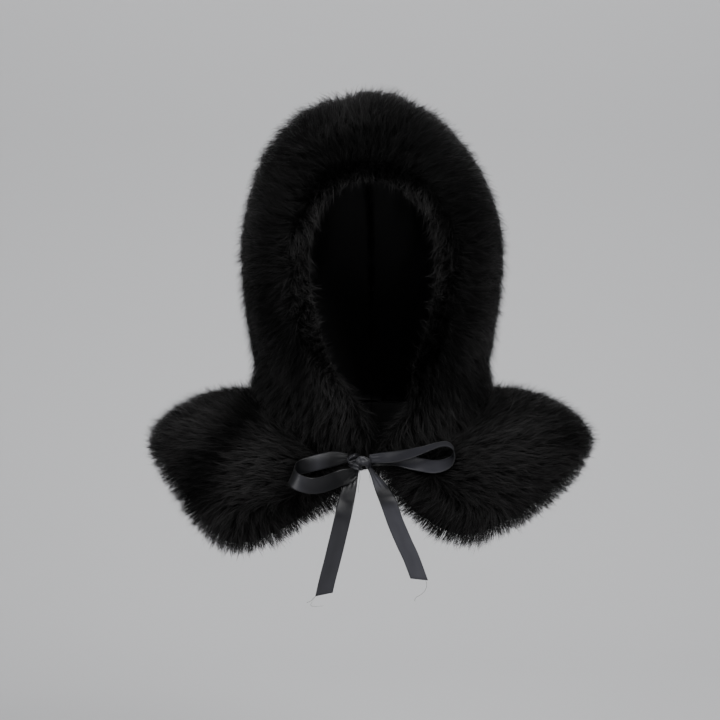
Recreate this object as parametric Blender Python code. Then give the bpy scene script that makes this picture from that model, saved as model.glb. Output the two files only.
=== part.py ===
"""Hooded fur-fabric capelet with a ribbon bow, in the hollow form it has when it is worn.

Metres, +Z up. The origin is the centre of the neck seam. The front faces -Y.
Left and right are the wearer's, so +X is the left side.
"""
import math

import bpy
import bmesh
from mathutils import Vector
from mathutils.bvhtree import BVHTree

# Seams
SEAM_GAP = 0.0003               # clear space between two pieces that are sewn together
NECK_GAP = 0.0005               # the same at the neck seam, which curves in two directions

# Neck seam: an oval ring that dips at the throat
NECK_HALF_WIDTH = 0.062
NECK_HALF_DEPTH = 0.065
NECK_FRONT_Z = -0.028
NECK_BACK_Z = 0.020
NECK_RISE_ANGLE = 95.0          # degrees from the throat at which the ring is at its full height

# Fur fabric: backing and pile together
HOOD_PILE = 0.027
CAPE_PILE = 0.024
HEM_OVERHANG = 0.017            # the pile reaches past the cape's cut edge
EDGE_TURNS = (24.0, 50.0, 78.0)  # degrees round a rounded pile edge at which it has a row of points
LOCK_RELIEF = 0.0022            # height of the clumps in which the pile lies
# Waves that make up the clumps: rates along x, y and z (radians per metre), then a second wave of the
# same kind that bends the first, how far it bends it, and a start
LOCK_WAVES = (
    ((210.0, 0.0, 0.0), (0.0, 60.0, 95.0), 2.1, 0.0),
    ((0.0, 130.0, 170.0), (120.0, 0.0, 0.0), 1.7, 0.0),
    ((-90.0, 240.0, 70.0), (0.0, 0.0, 0.0), 0.0, 0.8),
)
PARTING_DEPTH = 0.003           # the pile parts along the crown seam

# How far and how steeply the pile of hood and cape meets outside the neck seam
# angle (degrees from the throat), length, rise (degrees)
NECK_REACH = (
    (0.0, 0.030, -8.0),
    (45.0, 0.037, -2.0),
    (90.0, 0.048, 13.0),
    (135.0, 0.043, 17.0),
    (180.0, 0.040, 17.0),
)

# Hood arches from the face edge to the nape
# foot (degrees on the neck ring), shut (share of the height that stays narrow), wide (half width),
# wide_at (share of the height), top_y, top_z, bow (how far the arch swells forwards)
HOOD_ARCHES = (
    (12.0, 0.10, 0.0585, 0.72, -0.1030, 0.2235, 0.024),
    (20.0, 0.05, 0.0740, 0.67, -0.0800, 0.2430, 0.021),
    (31.0, 0.02, 0.0850, 0.62, -0.0500, 0.2660, 0.015),
    (43.0, 0.00, 0.0900, 0.58, -0.0120, 0.2830, 0.009),
    (55.0, 0.00, 0.0915, 0.55, 0.0300, 0.2840, 0.005),
    (66.0, 0.00, 0.0915, 0.53, 0.0700, 0.2640, 0.002),
    (77.0, 0.00, 0.0900, 0.51, 0.1010, 0.2230, 0.000),
    (87.0, 0.00, 0.0860, 0.50, 0.1170, 0.1720, 0.000),
    (96.0, 0.00, 0.0800, 0.48, 0.1150, 0.1180, 0.000),
    (104.0, 0.00, 0.0720, 0.45, 0.0960, 0.0660, 0.000),
    (110.0, 0.00, 0.0640, 0.40, 0.0650, 0.0200, 0.000),
)
HOOD_ROWS = 20                  # rows of points from the face edge to the nape
HOOD_COLUMNS = 16               # points from the neck seam to the crown seam
RUFF_HEIGHT = 0.055             # distance from the neck seam over which the pile hangs outwards
HOOD_OWN_FROM = 3.0             # columns over which the rounded edge leaves the throat's direction
NAPE_FROM = 0.76                # share of the way back at which arches start to turn into the ring

# Cape stations round the neck ring, one table for each side
# angle (degrees), hem_x (outwards from the middle), hem_y, hem_z,
# carry (share of the drop before the cloth turns down to the hem)
CAPE_LEFT = (
    (12.0, 0.0165, -0.0740, -0.0440, 0.50),
    (20.0, 0.0310, -0.0850, -0.0640, 0.52),
    (31.0, 0.0520, -0.0970, -0.0800, 0.54),
    (43.0, 0.0770, -0.1020, -0.0890, 0.52),
    (55.0, 0.1030, -0.0980, -0.0800, 0.46),
    (66.0, 0.1290, -0.0830, -0.0670, 0.38),
    (77.0, 0.1530, -0.0570, -0.0500, 0.28),
    (87.0, 0.1710, -0.0250, -0.0290, 0.20),
    (96.0, 0.1810, 0.0080, -0.0150, 0.18),
    (110.0, 0.1760, 0.0520, -0.0180, 0.22),
    (125.0, 0.1490, 0.0830, -0.0290, 0.34),
    (140.0, 0.1130, 0.1000, -0.0360, 0.42),
    (160.0, 0.0560, 0.1080, -0.0390, 0.46),
    (180.0, 0.0000, 0.1105, -0.0390, 0.46),
)
CAPE_RIGHT = (
    (12.0, 0.0175, -0.0740, -0.0420, 0.50),
    (20.0, 0.0370, -0.0850, -0.0580, 0.52),
    (31.0, 0.0640, -0.0960, -0.0780, 0.54),
    (43.0, 0.0920, -0.1010, -0.0920, 0.52),
    (55.0, 0.1180, -0.0950, -0.0950, 0.46),
    (66.0, 0.1420, -0.0770, -0.0760, 0.38),
    (77.0, 0.1620, -0.0500, -0.0530, 0.28),
    (87.0, 0.1750, -0.0200, -0.0310, 0.20),
    (96.0, 0.1820, 0.0100, -0.0170, 0.18),
    (110.0, 0.1750, 0.0540, -0.0200, 0.22),
    (125.0, 0.1480, 0.0830, -0.0300, 0.34),
    (140.0, 0.1120, 0.1000, -0.0360, 0.42),
    (160.0, 0.0560, 0.1080, -0.0390, 0.46),
    (180.0, 0.0000, 0.1105, -0.0390, 0.46),
)
CAPE_COLUMNS = 10               # points from the neck seam to the hem
CAPE_TURN_AT = 0.90             # share of the way out at which the cloth turns down to the hem
CAPE_OWN_FROM = 40.0            # the same for the cape, which has fewer columns and so keeps that direction
RUFF_SWELL = 0.003              # the pile rises a little next to the neck crease
RUFF_SWELL_ANGLE = 90.0         # degrees from the throat at which it rises in full
CAPE_SETTLE = 0.12              # share of the fall by which the pile is below the crease at the turn
BACK_STEP = 2                   # the cape's back has a station at every second point of the neck ring

# Folds of the cape, as soft troughs that widen towards the hem
# angle (degrees), width (degrees), depth
FOLDS_LEFT = ((30.0, 8.0, 0.0035), (70.0, 8.0, 0.0045), (104.0, 9.0, 0.0040), (150.0, 12.0, 0.0045))
FOLDS_RIGHT = ((38.0, 8.0, 0.0030), (74.0, 8.0, 0.0070), (112.0, 10.0, 0.0040), (146.0, 12.0, 0.0050))

# The worn hood sits a little askew
CROWN_LEAN = -0.008
CROWN_LEAN_FROM = 0.17
CROWN_LEAN_TO = 0.30
THROAT_LEAN = 0.011
THROAT_LEAN_Z = 0.016           # height at which the throat leans most
THROAT_LEAN_HALF = 0.040        # half height of the stretch that leans
THROAT_LEAN_FROM_Y = -0.045
THROAT_LEAN_TO_Y = -0.085

# Lining of the hood
LINING_THICKNESS = 0.0012

# Ribbon bow
RIBBON_WIDTH = 0.0145           # a satin ribbon sold as 15 mm
RIBBON_THICKNESS = 0.0010
RIBBON_CLEAR = 0.0008           # from the pile to the ribbon's back
RIBBON_SPAN = 0.008             # the ribbon bridges dips of the pile up to this far to each side
PILE_FRONT_Y = -0.045           # the ribbon lies on pile in front of this depth
# The bow's tables give x and z as seen from the front against the neck's depth. The bow lies nearer
# to the eye, so these are drawn in towards the point at the eye's height.
BOW_NEARER = 0.955
EYE_X = -0.011
EYE_Z = 0.060
KNOT_X = -0.0115
KNOT_Z = -0.0345
KNOT_HALF = (0.0095, 0.0058, 0.0078)  # half width, depth and height
KNOT_WAVE = 0.10                # small uneven bulges of the knot
KNOT_CREASE = 0.16              # depth of the crease down the knot
KNOT_CREASE_AT = 0.15           # how far to the side the crease is, as a share of the half width
KNOT_CREASE_WIDTH = 0.28
KNOT_SEAT = 0.0005              # clear space between the knot's back and the pile

# Ribbon routes: x, z, stand (in front of the pile), slope and lean of the width (degrees), width (share)
# slope turns the width away from upright in the front view, lean turns it towards the depth
LOOP_RIGHT = (
    (-0.0218, -0.0314, 0.0012, -4.0, 22.0, 0.55),
    (-0.0330, -0.0318, 0.0010, -4.0, 8.0, 0.95),
    (-0.0460, -0.0345, 0.0010, -6.0, 4.0, 1.00),
    (-0.0580, -0.0375, 0.0020, -2.0, 2.0, 1.00),
    (-0.0680, -0.0405, 0.0050, 10.0, 0.0, 1.00),
    (-0.0735, -0.0450, 0.0110, 20.0, 0.0, 1.00),
    (-0.0728, -0.0495, 0.0170, 24.0, 0.0, 1.00),
    (-0.0670, -0.0530, 0.0200, 14.0, 0.0, 1.00),
    (-0.0560, -0.0545, 0.0195, 2.0, 0.0, 1.00),
    (-0.0420, -0.0515, 0.0160, -9.0, 2.0, 1.00),
    (-0.0310, -0.0455, 0.0115, -18.0, 6.0, 0.90),
    (-0.0218, -0.0384, 0.0080, -26.0, 24.0, 0.50),
)
LOOP_LEFT = (
    (-0.0010, -0.0318, 0.0052, 2.0, 24.0, 0.55),
    (0.0110, -0.0312, 0.0075, 2.0, 42.0, 0.85),
    (0.0240, -0.0300, 0.0085, 4.0, 50.0, 1.00),
    (0.0370, -0.0272, 0.0090, 6.0, 56.0, 1.00),
    (0.0490, -0.0238, 0.0095, 8.0, 62.0, 1.00),
    (0.0600, -0.0205, 0.0095, 6.0, 66.0, 1.00),
    (0.0700, -0.0198, 0.0080, 4.0, 66.0, 1.00),
    (0.0765, -0.0250, 0.0050, 0.0, 62.0, 1.00),
    (0.0735, -0.0345, 0.0020, 0.0, 52.0, 1.00),
    (0.0615, -0.0392, 0.0005, 0.0, 40.0, 1.00),
    (0.0480, -0.0380, 0.0003, -4.0, 32.0, 1.00),
    (0.0350, -0.0355, 0.0003, -4.0, 36.0, 1.00),
    (0.0230, -0.0335, 0.0003, -2.0, 46.0, 0.90),
    (0.0110, -0.0335, 0.0003, 0.0, 40.0, 0.75),
    (-0.0010, -0.0348, 0.0012, 0.0, 24.0, 0.50),
)
# Tails: x, z, y, slope and lean of the width, width (share)
TAIL_RIGHT = (
    (-0.0160, -0.0437, -0.1190, 100.0, 20.0, 0.50),
    (-0.0195, -0.0530, -0.1190, 97.0, 10.0, 0.85),
    (-0.0225, -0.0640, -0.1190, 96.0, 4.0, 1.00),
    (-0.0255, -0.0790, -0.1190, 98.0, 0.0, 1.00),
    (-0.0300, -0.0985, -0.1180, 101.0, 0.0, 1.00),
    (-0.0355, -0.1215, -0.1165, 103.0, -3.0, 1.00),
    (-0.0410, -0.1430, -0.1150, 104.0, -6.0, 1.00),
    (-0.0445, -0.1580, -0.1140, 104.0, -8.0, 1.00),
)
TAIL_LEFT = (
    (-0.0078, -0.0428, -0.1190, 76.0, 30.0, 0.48),
    (0.0025, -0.0520, -0.1190, 62.0, 30.0, 0.80),
    (0.0100, -0.0610, -0.1190, 66.0, 16.0, 0.95),
    (0.0160, -0.0740, -0.1190, 70.0, 6.0, 1.00),
    (0.0215, -0.0895, -0.1185, 68.0, 0.0, 1.00),
    (0.0285, -0.1065, -0.1175, 64.0, -4.0, 1.00),
    (0.0365, -0.1240, -0.1160, 66.0, -8.0, 1.00),
    (0.0440, -0.1440, -0.1150, 73.0, -10.0, 1.00),
)
TAIL_CUT_RIGHT = -0.0035        # the cut end slants by this much from one edge to the middle
TAIL_CUT_LEFT = 0.0030
RIBBON_STEPS = 3                # rows of points from one table row to the next
DEPTH_ROUNDS = 3                # rounds of evening out the ribbons' depth
TAIL_FREE_ROW = 3               # table row at which a tail leaves the knot's depth

# Finishes: base colour, roughness
FUR_BLACK = ((0.012, 0.012, 0.013), 0.85)
LINING_BLACK = ((0.010, 0.010, 0.011), 0.60)
RIBBON_BLACK = ((0.045, 0.045, 0.050), 0.38)


def smooth(value):
    """Ease from 0 to 1, flat at both ends."""
    value = min(max(value, 0.0), 1.0)
    return value * value * (3.0 - 2.0 * value)


def between(rows, place):
    """Columns at a place along a table, by row number, on a smooth curve through its rows."""
    last = len(rows) - 1
    index = min(int(place), last - 1)
    part = place - index
    before, start, end, after = (rows[min(max(index + step, 0), last)] for step in (-1, 0, 1, 2))
    values = []
    for a, b, c, d in zip(before, start, end, after):
        curve = 2.0 * b + (c - a) * part
        curve += (2.0 * a - 5.0 * b + 4.0 * c - d) * part ** 2
        curve += (3.0 * b - a - 3.0 * c + d) * part ** 3
        values.append(0.5 * curve)
    return values


def at_angle(rows, angle):
    """Columns at an angle, in a table whose first column is the angle."""
    last = len(rows) - 1
    for index in range(last):
        if angle <= rows[index + 1][0] or index == last - 1:
            span = rows[index + 1][0] - rows[index][0]
            return between(rows, index + min(max((angle - rows[index][0]) / span, 0.0), 1.0))
    return list(rows[-1])


def ring_point(angle):
    """Point of the neck seam, on the left side."""
    turn = math.radians(angle)
    rise = smooth(angle / NECK_RISE_ANGLE)
    height = NECK_FRONT_Z + (NECK_BACK_Z - NECK_FRONT_Z) * rise
    return Vector((NECK_HALF_WIDTH * math.sin(turn), -NECK_HALF_DEPTH * math.cos(turn), height))


def ring_reach(angle):
    """From the neck seam out to the crease in which the piles of hood and cape meet."""
    _, length, rise = at_angle(NECK_REACH, angle)
    turn = math.radians(angle)
    slope = math.radians(rise)
    level = Vector((math.sin(turn), -math.cos(turn), 0.0)) * math.cos(slope)
    return (level + Vector((0.0, 0.0, math.sin(slope)))) * length


def nearest_on_ring(point):
    """Angle of the neck seam's nearest point, and the distance to it."""
    best = min(range(0, 181, 2), key=lambda angle: (ring_point(angle) - point).length_squared)
    near = (best + step / 4.0 for step in range(-8, 9))
    fine = min(near, key=lambda angle: (ring_point(angle) - point).length_squared)
    return min(fine, 180.0), (ring_point(fine) - point).length


def even(points, count):
    """Spread count points evenly along a fine polyline."""
    lengths = [0.0]
    for first, second in zip(points, points[1:]):
        lengths.append(lengths[-1] + (second - first).length)
    result = []
    index = 0
    for step in range(count):
        goal = lengths[-1] * step / (count - 1)
        while index < len(points) - 2 and lengths[index + 1] < goal:
            index += 1
        span = lengths[index + 1] - lengths[index]
        result.append(points[index].lerp(points[index + 1], (goal - lengths[index]) / span))
    return result


def arch(values, fine=72):
    """Fine polyline of one hood arch, from the neck seam up to the crown seam."""
    foot_angle, shut, wide, wide_at, top_y, top_z, bow = values
    foot = ring_point(foot_angle)
    chord = Vector((0.0, top_y - foot.y, top_z - foot.z))
    ahead = Vector((0.0, -chord.z, chord.y)).normalized()
    points = []
    for step in range(fine + 1):
        turn = math.pi * step / fine - math.pi / 2.0
        if turn < 0.0:
            share = wide_at * (1.0 + turn / (math.pi / 2.0))
            opened = max(share - shut, 0.0) / (wide_at - shut)
            out = foot.x + (wide - foot.x) * math.sin(opened * math.pi / 2.0)
        else:
            share = wide_at + (1.0 - wide_at) * math.sin(turn)
            out = wide * math.cos(turn)
        swell = ahead * bow * 4.0 * share * (1.0 - share)
        points.append(Vector((out, foot.y, foot.z)) + chord * share + swell)
    return points


def hood_cloth():
    """Rows of points on the inner side of the left hood panel, and their angles on the ring."""
    rows = []
    angles = []
    for row in range(HOOD_ROWS + 1):
        share = row / HOOD_ROWS
        values = between(HOOD_ARCHES, share * (len(HOOD_ARCHES) - 1))
        free = even(arch(values), HOOD_COLUMNS + 1)
        nape = smooth((share - NAPE_FROM) / (1.0 - NAPE_FROM))
        points = []
        turns = []
        for column, point in enumerate(free):
            up = column / HOOD_COLUMNS
            turn = values[0] + (180.0 - values[0]) * up
            points.append(point.lerp(ring_point(turn), nape))
            turns.append(turn)
        rows.append(points)
        angles.append(turns)
    return rows, angles


def grid_normals(rows, inside):
    """Unit normals of a grid of points, pointing away from a point inside."""
    normals = []
    for i, points in enumerate(rows):
        line = []
        for j, point in enumerate(points):
            along = rows[min(i + 1, len(rows) - 1)][j] - rows[max(i - 1, 0)][j]
            across = points[min(j + 1, len(points) - 1)] - points[max(j - 1, 0)]
            normal = along.cross(across).normalized()
            if normal.dot(point - inside) < 0.0:
                normal.negate()
            line.append(normal)
        normals.append(line)
    return normals


def locks(point):
    """Height of the clumps in the pile at a point, from -1 to 1."""
    total = 0.0
    for rates, bend_rates, bend, start in LOCK_WAVES:
        total += math.sin(point.dot(Vector(rates)) + bend * math.sin(point.dot(Vector(bend_rates))) + start)
    return total / len(LOCK_WAVES)


def hood_lifts(inner):
    """For each point of the hood's cloth, the unit way out and the reach of the pile."""
    normals = grid_normals(inner, Vector((0.0, 0.01, 0.12)))
    lifts = []
    for points, line in zip(inner, normals):
        row = []
        for j, (point, normal) in enumerate(zip(points, line)):
            angle, distance = nearest_on_ring(point)
            free = smooth(distance / RUFF_HEIGHT)
            if j == HOOD_COLUMNS:
                normal.x = 0.0
                normal.normalize()
            crown = 1.0 - smooth((HOOD_COLUMNS - j) / (0.10 * HOOD_COLUMNS))
            relief = LOCK_RELIEF * locks(point) * free * (1.0 - crown)
            pile = HOOD_PILE - PARTING_DEPTH * crown * free + relief
            reach = ring_reach(angle)
            way = reach.normalized().lerp(normal, free).normalized()
            row.append((way, reach.lerp(normal * pile, free)))
        lifts.append(row)
    return lifts


def shifted(rows, shifts):
    """Grid of points, each moved by its own shift."""
    return [[p + d for p, d in zip(points, line)] for points, line in zip(rows, shifts)]


def bezier(ends, count):
    """Points on a cubic curve through its first and last control point."""
    a, b, c, d = ends
    points = []
    for step in range(count + 1):
        t = step / count
        s = 1.0 - t
        points.append(a * s ** 3 + b * (3.0 * s * s * t) + c * (3.0 * s * t * t) + d * t ** 3)
    return points


def fold_depth(folds, angle):
    """How deep the troughs of the folds are at an angle round the neck."""
    return sum(depth * math.exp(-((angle - middle) / width) ** 2) for middle, width, depth in folds)


def cape_walls(table, folds, angles):
    """Inner and outer rows of points of one cape panel, as if on the left side."""
    inner = []
    outer = []
    up = Vector((0.0, 0.0, 1.0))
    for angle in angles:
        _, hem_x, hem_y, hem_z, carry = at_angle(table, angle)
        neck = ring_point(angle) - up * NECK_GAP
        crease = neck + ring_reach(angle)
        hem = Vector((hem_x, hem_y, hem_z))
        level = Vector((hem.x - neck.x, hem.y - neck.y, 0.0))
        drop = neck.z - hem.z
        leave = neck + level * 0.35 - up * drop * 0.08
        turn = neck + level * CAPE_TURN_AT - up * drop * carry
        end = (hem - turn).normalized()
        bend_way = (end + (turn - leave).normalized()).normalized()
        heading = level.normalized()
        away = heading * -end.z + up * end.dot(heading)
        bend_away = heading * -bend_way.z + up * bend_way.dot(heading)
        cloth = bezier((neck, leave, turn, hem), CAPE_COLUMNS)
        low = hem + away * CAPE_PILE
        high = turn + bend_away * CAPE_PILE
        high.z = min(high.z, crease.z - CAPE_SETTLE * (crease.z - low.z))
        swell = crease.lerp(high, 0.4) + up * RUFF_SWELL * smooth(angle / RUFF_SWELL_ANGLE)
        pile = bezier((crease, swell, high, low), CAPE_COLUMNS)
        depth = fold_depth(folds, angle)
        for column in range(1, CAPE_COLUMNS + 1):
            share = column / CAPE_COLUMNS
            sink = depth * smooth(share)
            cloth[column] = cloth[column] - away * sink * 0.4
            relief = LOCK_RELIEF * locks(pile[column]) * smooth(share * 3.0)
            pile[column] = pile[column] - away * (sink - relief)
        for turn_angle in EDGE_TURNS:
            bend = math.radians(turn_angle)
            middle = (cloth[CAPE_COLUMNS] + pile[CAPE_COLUMNS]) / 2.0
            half = (pile[CAPE_COLUMNS] - cloth[CAPE_COLUMNS]) / 2.0
            past = end * HEM_OVERHANG * math.sin(bend)
            cloth.append(middle - half * math.cos(bend) + past)
            pile.append(middle + half * math.cos(bend) + past)
        inner.append(cloth)
        outer.append(pile)
    return inner, outer


def rounded_front(inner, outer, own_from):
    """Add the rows that round the pile over a panel's front edge.

    Next to the neck seam they head for the throat. From column own_from on they go on as the panel does.
    """
    throat = (ring_point(0.0) - ring_point(HOOD_ARCHES[0][0])).normalized()
    new_inner = []
    new_outer = []
    for turn_angle in reversed(EDGE_TURNS):
        bend = math.radians(turn_angle)
        inner_row = []
        outer_row = []
        for j in range(len(inner[0])):
            half = (outer[0][j] - inner[0][j]) / 2.0
            middle = (outer[0][j] + inner[0][j]) / 2.0
            own = (inner[0][j] - inner[1][j]).normalized()
            ahead = throat.lerp(own, smooth(j / own_from))
            ahead -= half * (ahead.dot(half) / half.length_squared)
            past = ahead.normalized() * half.length * math.sin(bend)
            inner_row.append(middle - half * math.cos(bend) + past)
            outer_row.append(middle + half * math.cos(bend) + past)
        new_inner.append(inner_row)
        new_outer.append(outer_row)
    return new_inner + inner, new_outer + outer


def lean(point):
    """Shift a point sideways where the worn hood sits askew."""
    crown = smooth((point.z - CROWN_LEAN_FROM) / (CROWN_LEAN_TO - CROWN_LEAN_FROM))
    height = min(abs(point.z - THROAT_LEAN_Z) / THROAT_LEAN_HALF, 1.0)
    front = smooth((THROAT_LEAN_FROM_Y - point.y) / (THROAT_LEAN_FROM_Y - THROAT_LEAN_TO_Y))
    throat = (0.5 + 0.5 * math.cos(math.pi * height)) * front
    return Vector((point.x + CROWN_LEAN * crown + THROAT_LEAN * throat, point.y, point.z))


def placed(rows, side):
    """Put left-side points on a side, half a seam gap off the middle, and let them lean."""
    return [[lean(Vector((side * (p.x + SEAM_GAP / 2.0), p.y, p.z))) for p in row] for row in rows]


def material(name, finish):
    """One plain material for a piece."""
    colour, roughness = finish
    result = bpy.data.materials.new(name)
    result.use_nodes = True
    shader = result.node_tree.nodes["Principled BSDF"]
    shader.inputs["Base Color"].default_value = (*colour, 1.0)
    shader.inputs["Roughness"].default_value = roughness
    shader.inputs["Metallic"].default_value = 0.0
    return result


def finished(name, shape, finish):
    """Turn a bmesh into a named, smoothly shaded object with its own material."""
    bmesh.ops.recalc_face_normals(shape, faces=shape.faces)
    bmesh.ops.triangulate(shape, faces=shape.faces)
    if shape.calc_volume(signed=True) < 0.0:
        bmesh.ops.reverse_faces(shape, faces=shape.faces)
    mesh = bpy.data.meshes.new(name)
    shape.to_mesh(mesh)
    shape.free()
    mesh.shade_smooth()
    mesh.set_sharp_from_angle(angle=math.radians(50.0))
    mesh.materials.append(material(name + "_finish", finish))
    item = bpy.data.objects.new(name, mesh)
    bpy.context.scene.collection.objects.link(item)
    return item


def wall(name, inner, outer, finish):
    """Closed wall between two grids of points with the same rows and columns."""
    shape = bmesh.new()
    inside = [[shape.verts.new(point) for point in row] for row in inner]
    outside = [[shape.verts.new(point) for point in row] for row in outer]
    last_row = len(inner) - 1
    last_column = len(inner[0]) - 1
    for i in range(last_row):
        for j in range(last_column):
            for grid in (inside, outside):
                shape.faces.new((grid[i][j], grid[i + 1][j], grid[i + 1][j + 1], grid[i][j + 1]))
    for i in range(last_row):
        for j in (0, last_column):
            shape.faces.new((inside[i][j], inside[i + 1][j], outside[i + 1][j], outside[i][j]))
    for j in range(last_column):
        for i in (0, last_row):
            shape.faces.new((inside[i][j], inside[i][j + 1], outside[i][j + 1], outside[i][j]))
    return finished(name, shape, finish)


def ribbon_frame(values):
    """Centre in the front view, and the direction of the ribbon's width."""
    x, z, depth, slope, lean_angle, width = values
    x = EYE_X + (x - EYE_X) * BOW_NEARER
    z = EYE_Z + (z - EYE_Z) * BOW_NEARER
    slope = math.radians(slope)
    lean_angle = math.radians(lean_angle)
    across = Vector((math.sin(slope), 0.0, math.cos(slope))) * math.cos(lean_angle)
    across.y = math.sin(lean_angle)
    return x, z, depth, across * (RIBBON_WIDTH * width / 2.0)


def ribbon(name, centres, halves, cut=0.0):
    """Closed ribbon along centres, with half its width on each side."""
    inner = []
    outer = []
    count = len(centres)
    for i, (centre, half) in enumerate(zip(centres, halves)):
        along = (centres[min(i + 1, count - 1)] - centres[max(i - 1, 0)]).normalized()
        face = along.cross(half).normalized() * (RIBBON_THICKNESS / 2.0)
        slant = along * cut if i == count - 1 else Vector((0.0, 0.0, 0.0))
        row = [centre - half - slant, centre, centre + half + slant]
        inner.append([point - face for point in row])
        outer.append([point + face for point in row])
    return wall(name, inner, outer, RIBBON_BLACK)


def pile_front(trees, x, z):
    """Depth of the pile's front surface round a point of the front view, or None beside it."""
    depths = []
    for tree in trees:
        for aside in (-RIBBON_SPAN, 0.0, RIBBON_SPAN):
            start = Vector((x + aside, -1.0, z))
            hit, _, _, _ = tree.ray_cast(start, Vector((0.0, 1.0, 0.0)), 1.0 + PILE_FRONT_Y)
            if hit is not None:
                depths.append(hit.y)
    return min(depths) if depths else None


def in_front(trees, x, y, z, half):
    """Depth of a ribbon's centre, brought forwards so that its whole width is clear of the pile."""
    for share in (-1.0, -0.5, 0.0, 0.5, 1.0):
        front = pile_front(trees, x + half.x * share, z + half.z * share)
        if front is not None:
            y = min(y, front - half.y * share - RIBBON_CLEAR)
    return y


def softened(centres):
    """Centres with their depth evened out, never further back than before."""
    depths = [centre.y for centre in centres]
    for _ in range(DEPTH_ROUNDS):
        inner = [min(b, (a + c) / 2.0) for a, b, c in zip(depths, depths[1:], depths[2:])]
        depths = [depths[0]] + inner + [depths[-1]]
    return [Vector((centre.x, depth, centre.z)) for centre, depth in zip(centres, depths)]


def loop_route(trees, rows):
    """Centres and half widths of a loop that stands on the pile."""
    centres = []
    halves = []
    for step in range((len(rows) - 1) * RIBBON_STEPS + 1):
        x, z, stand, half = ribbon_frame(between(rows, step / RIBBON_STEPS))
        centres.append(Vector((x, in_front(trees, x, PILE_FRONT_Y, z, half) - stand, z)))
        halves.append(half)
    return softened(centres), halves


def tail_route(trees, rows, knot_y):
    """Centres and half widths of a tail that lies on the pile and then hangs free."""
    centres = []
    halves = []
    for step in range((len(rows) - 1) * RIBBON_STEPS + 1):
        x, z, hang, half = ribbon_frame(between(rows, step / RIBBON_STEPS))
        share = smooth(step / (TAIL_FREE_ROW * RIBBON_STEPS))
        y = knot_y + (hang - knot_y) * share
        centres.append(Vector((x, in_front(trees, x, y, z, half), z)))
        halves.append(half)
    return softened(centres), halves


def knot(name, trees, x, z):
    """Rounded, creased knot, seated on the pile. Returns the depth of its centre."""
    shape = bmesh.new()
    bmesh.ops.create_uvsphere(shape, u_segments=16, v_segments=10, radius=1.0)
    room = []
    for vert in shape.verts:
        side, depth, height = vert.co
        size = 1.0 + KNOT_WAVE * math.sin(5.0 * side + 3.0 * height)
        size -= KNOT_CREASE * math.exp(-((side - KNOT_CREASE_AT) / KNOT_CREASE_WIDTH) ** 2) * abs(height)
        half_width, half_depth, half_height = KNOT_HALF
        vert.co = (x + side * half_width, depth * half_depth * size, z + height * half_height * size)
        for tree in trees:
            hit, _, _, _ = tree.ray_cast(Vector((vert.co.x, -1.0, vert.co.z)), Vector((0.0, 1.0, 0.0)))
            if hit is not None:
                room.append(hit.y - vert.co.y)
    y = min(room) - KNOT_SEAT
    bmesh.ops.translate(shape, verts=shape.verts, vec=(0.0, y, 0.0))
    finished(name, shape, RIBBON_BLACK)
    return y


def clear_scene():
    """Remove whatever the scene holds."""
    for item in list(bpy.data.objects):
        bpy.data.objects.remove(item, do_unlink=True)


def make_cloth():
    """Hood, lining and cape panels of both sides. Returns the pieces with pile."""
    inner, angles = hood_cloth()
    lifts = hood_lifts(inner)
    outer = shifted(inner, [[reach for _, reach in row] for row in lifts])
    face = [[way * -SEAM_GAP for way, _ in row] for row in lifts]
    back = [[way * -(SEAM_GAP + LINING_THICKNESS) for way, _ in row] for row in lifts]
    lining = (shifted(inner, back), shifted(inner, face))
    hood = rounded_front(inner, outer, HOOD_OWN_FROM)
    stations = [row[0] for row in angles] + angles[-1][BACK_STEP::BACK_STEP]
    furs = []
    sides = ((1.0, "left", CAPE_LEFT, FOLDS_LEFT), (-1.0, "right", CAPE_RIGHT, FOLDS_RIGHT))
    for side, word, table, folds in sides:
        cape = rounded_front(*cape_walls(table, folds, stations), CAPE_OWN_FROM)
        furs.append(wall("hood_" + word, *(placed(rows, side) for rows in hood), FUR_BLACK))
        furs.append(wall("cape_" + word, *(placed(rows, side) for rows in cape), FUR_BLACK))
        wall("lining_" + word, *(placed(rows, side) for rows in lining), LINING_BLACK)
    return furs


def make_bow(furs):
    """Knot, loops and tails of the ribbon, on the pile in front of the neck seam."""
    depsgraph = bpy.context.evaluated_depsgraph_get()
    trees = [BVHTree.FromObject(fur, depsgraph) for fur in furs]
    x, z, _, _ = ribbon_frame((KNOT_X, KNOT_Z, 0.0, 0.0, 0.0, 1.0))
    y = knot("ribbon_knot", trees, x, z)
    for word, rows in (("right", LOOP_RIGHT), ("left", LOOP_LEFT)):
        centres, halves = loop_route(trees, rows)
        ribbon("ribbon_loop_" + word, centres, halves)
    for word, rows, cut in (("right", TAIL_RIGHT, TAIL_CUT_RIGHT), ("left", TAIL_LEFT, TAIL_CUT_LEFT)):
        centres, halves = tail_route(trees, rows, y)
        ribbon("ribbon_tail_" + word, centres, halves, cut)


clear_scene()
make_bow(make_cloth())
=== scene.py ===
# %% [markdown]
# # A hooded fur capelet
#
# A short cape of black faux fur with a hood, worn hood up and tied at the throat with a satin
# ribbon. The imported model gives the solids: thick walls for the fur panels, thin ones for the
# lining, and the ribbon. This lesson dresses them. It builds a backing cloth, a dense underfur and
# long guard hair on the walls, a softly creased lining and a satin bow, and then lights and frames
# them.

import math

import bmesh
import bpy
import numpy as np
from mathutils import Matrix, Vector
from mathutils.bvhtree import BVHTree
from mathutils.kdtree import KDTree


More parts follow.
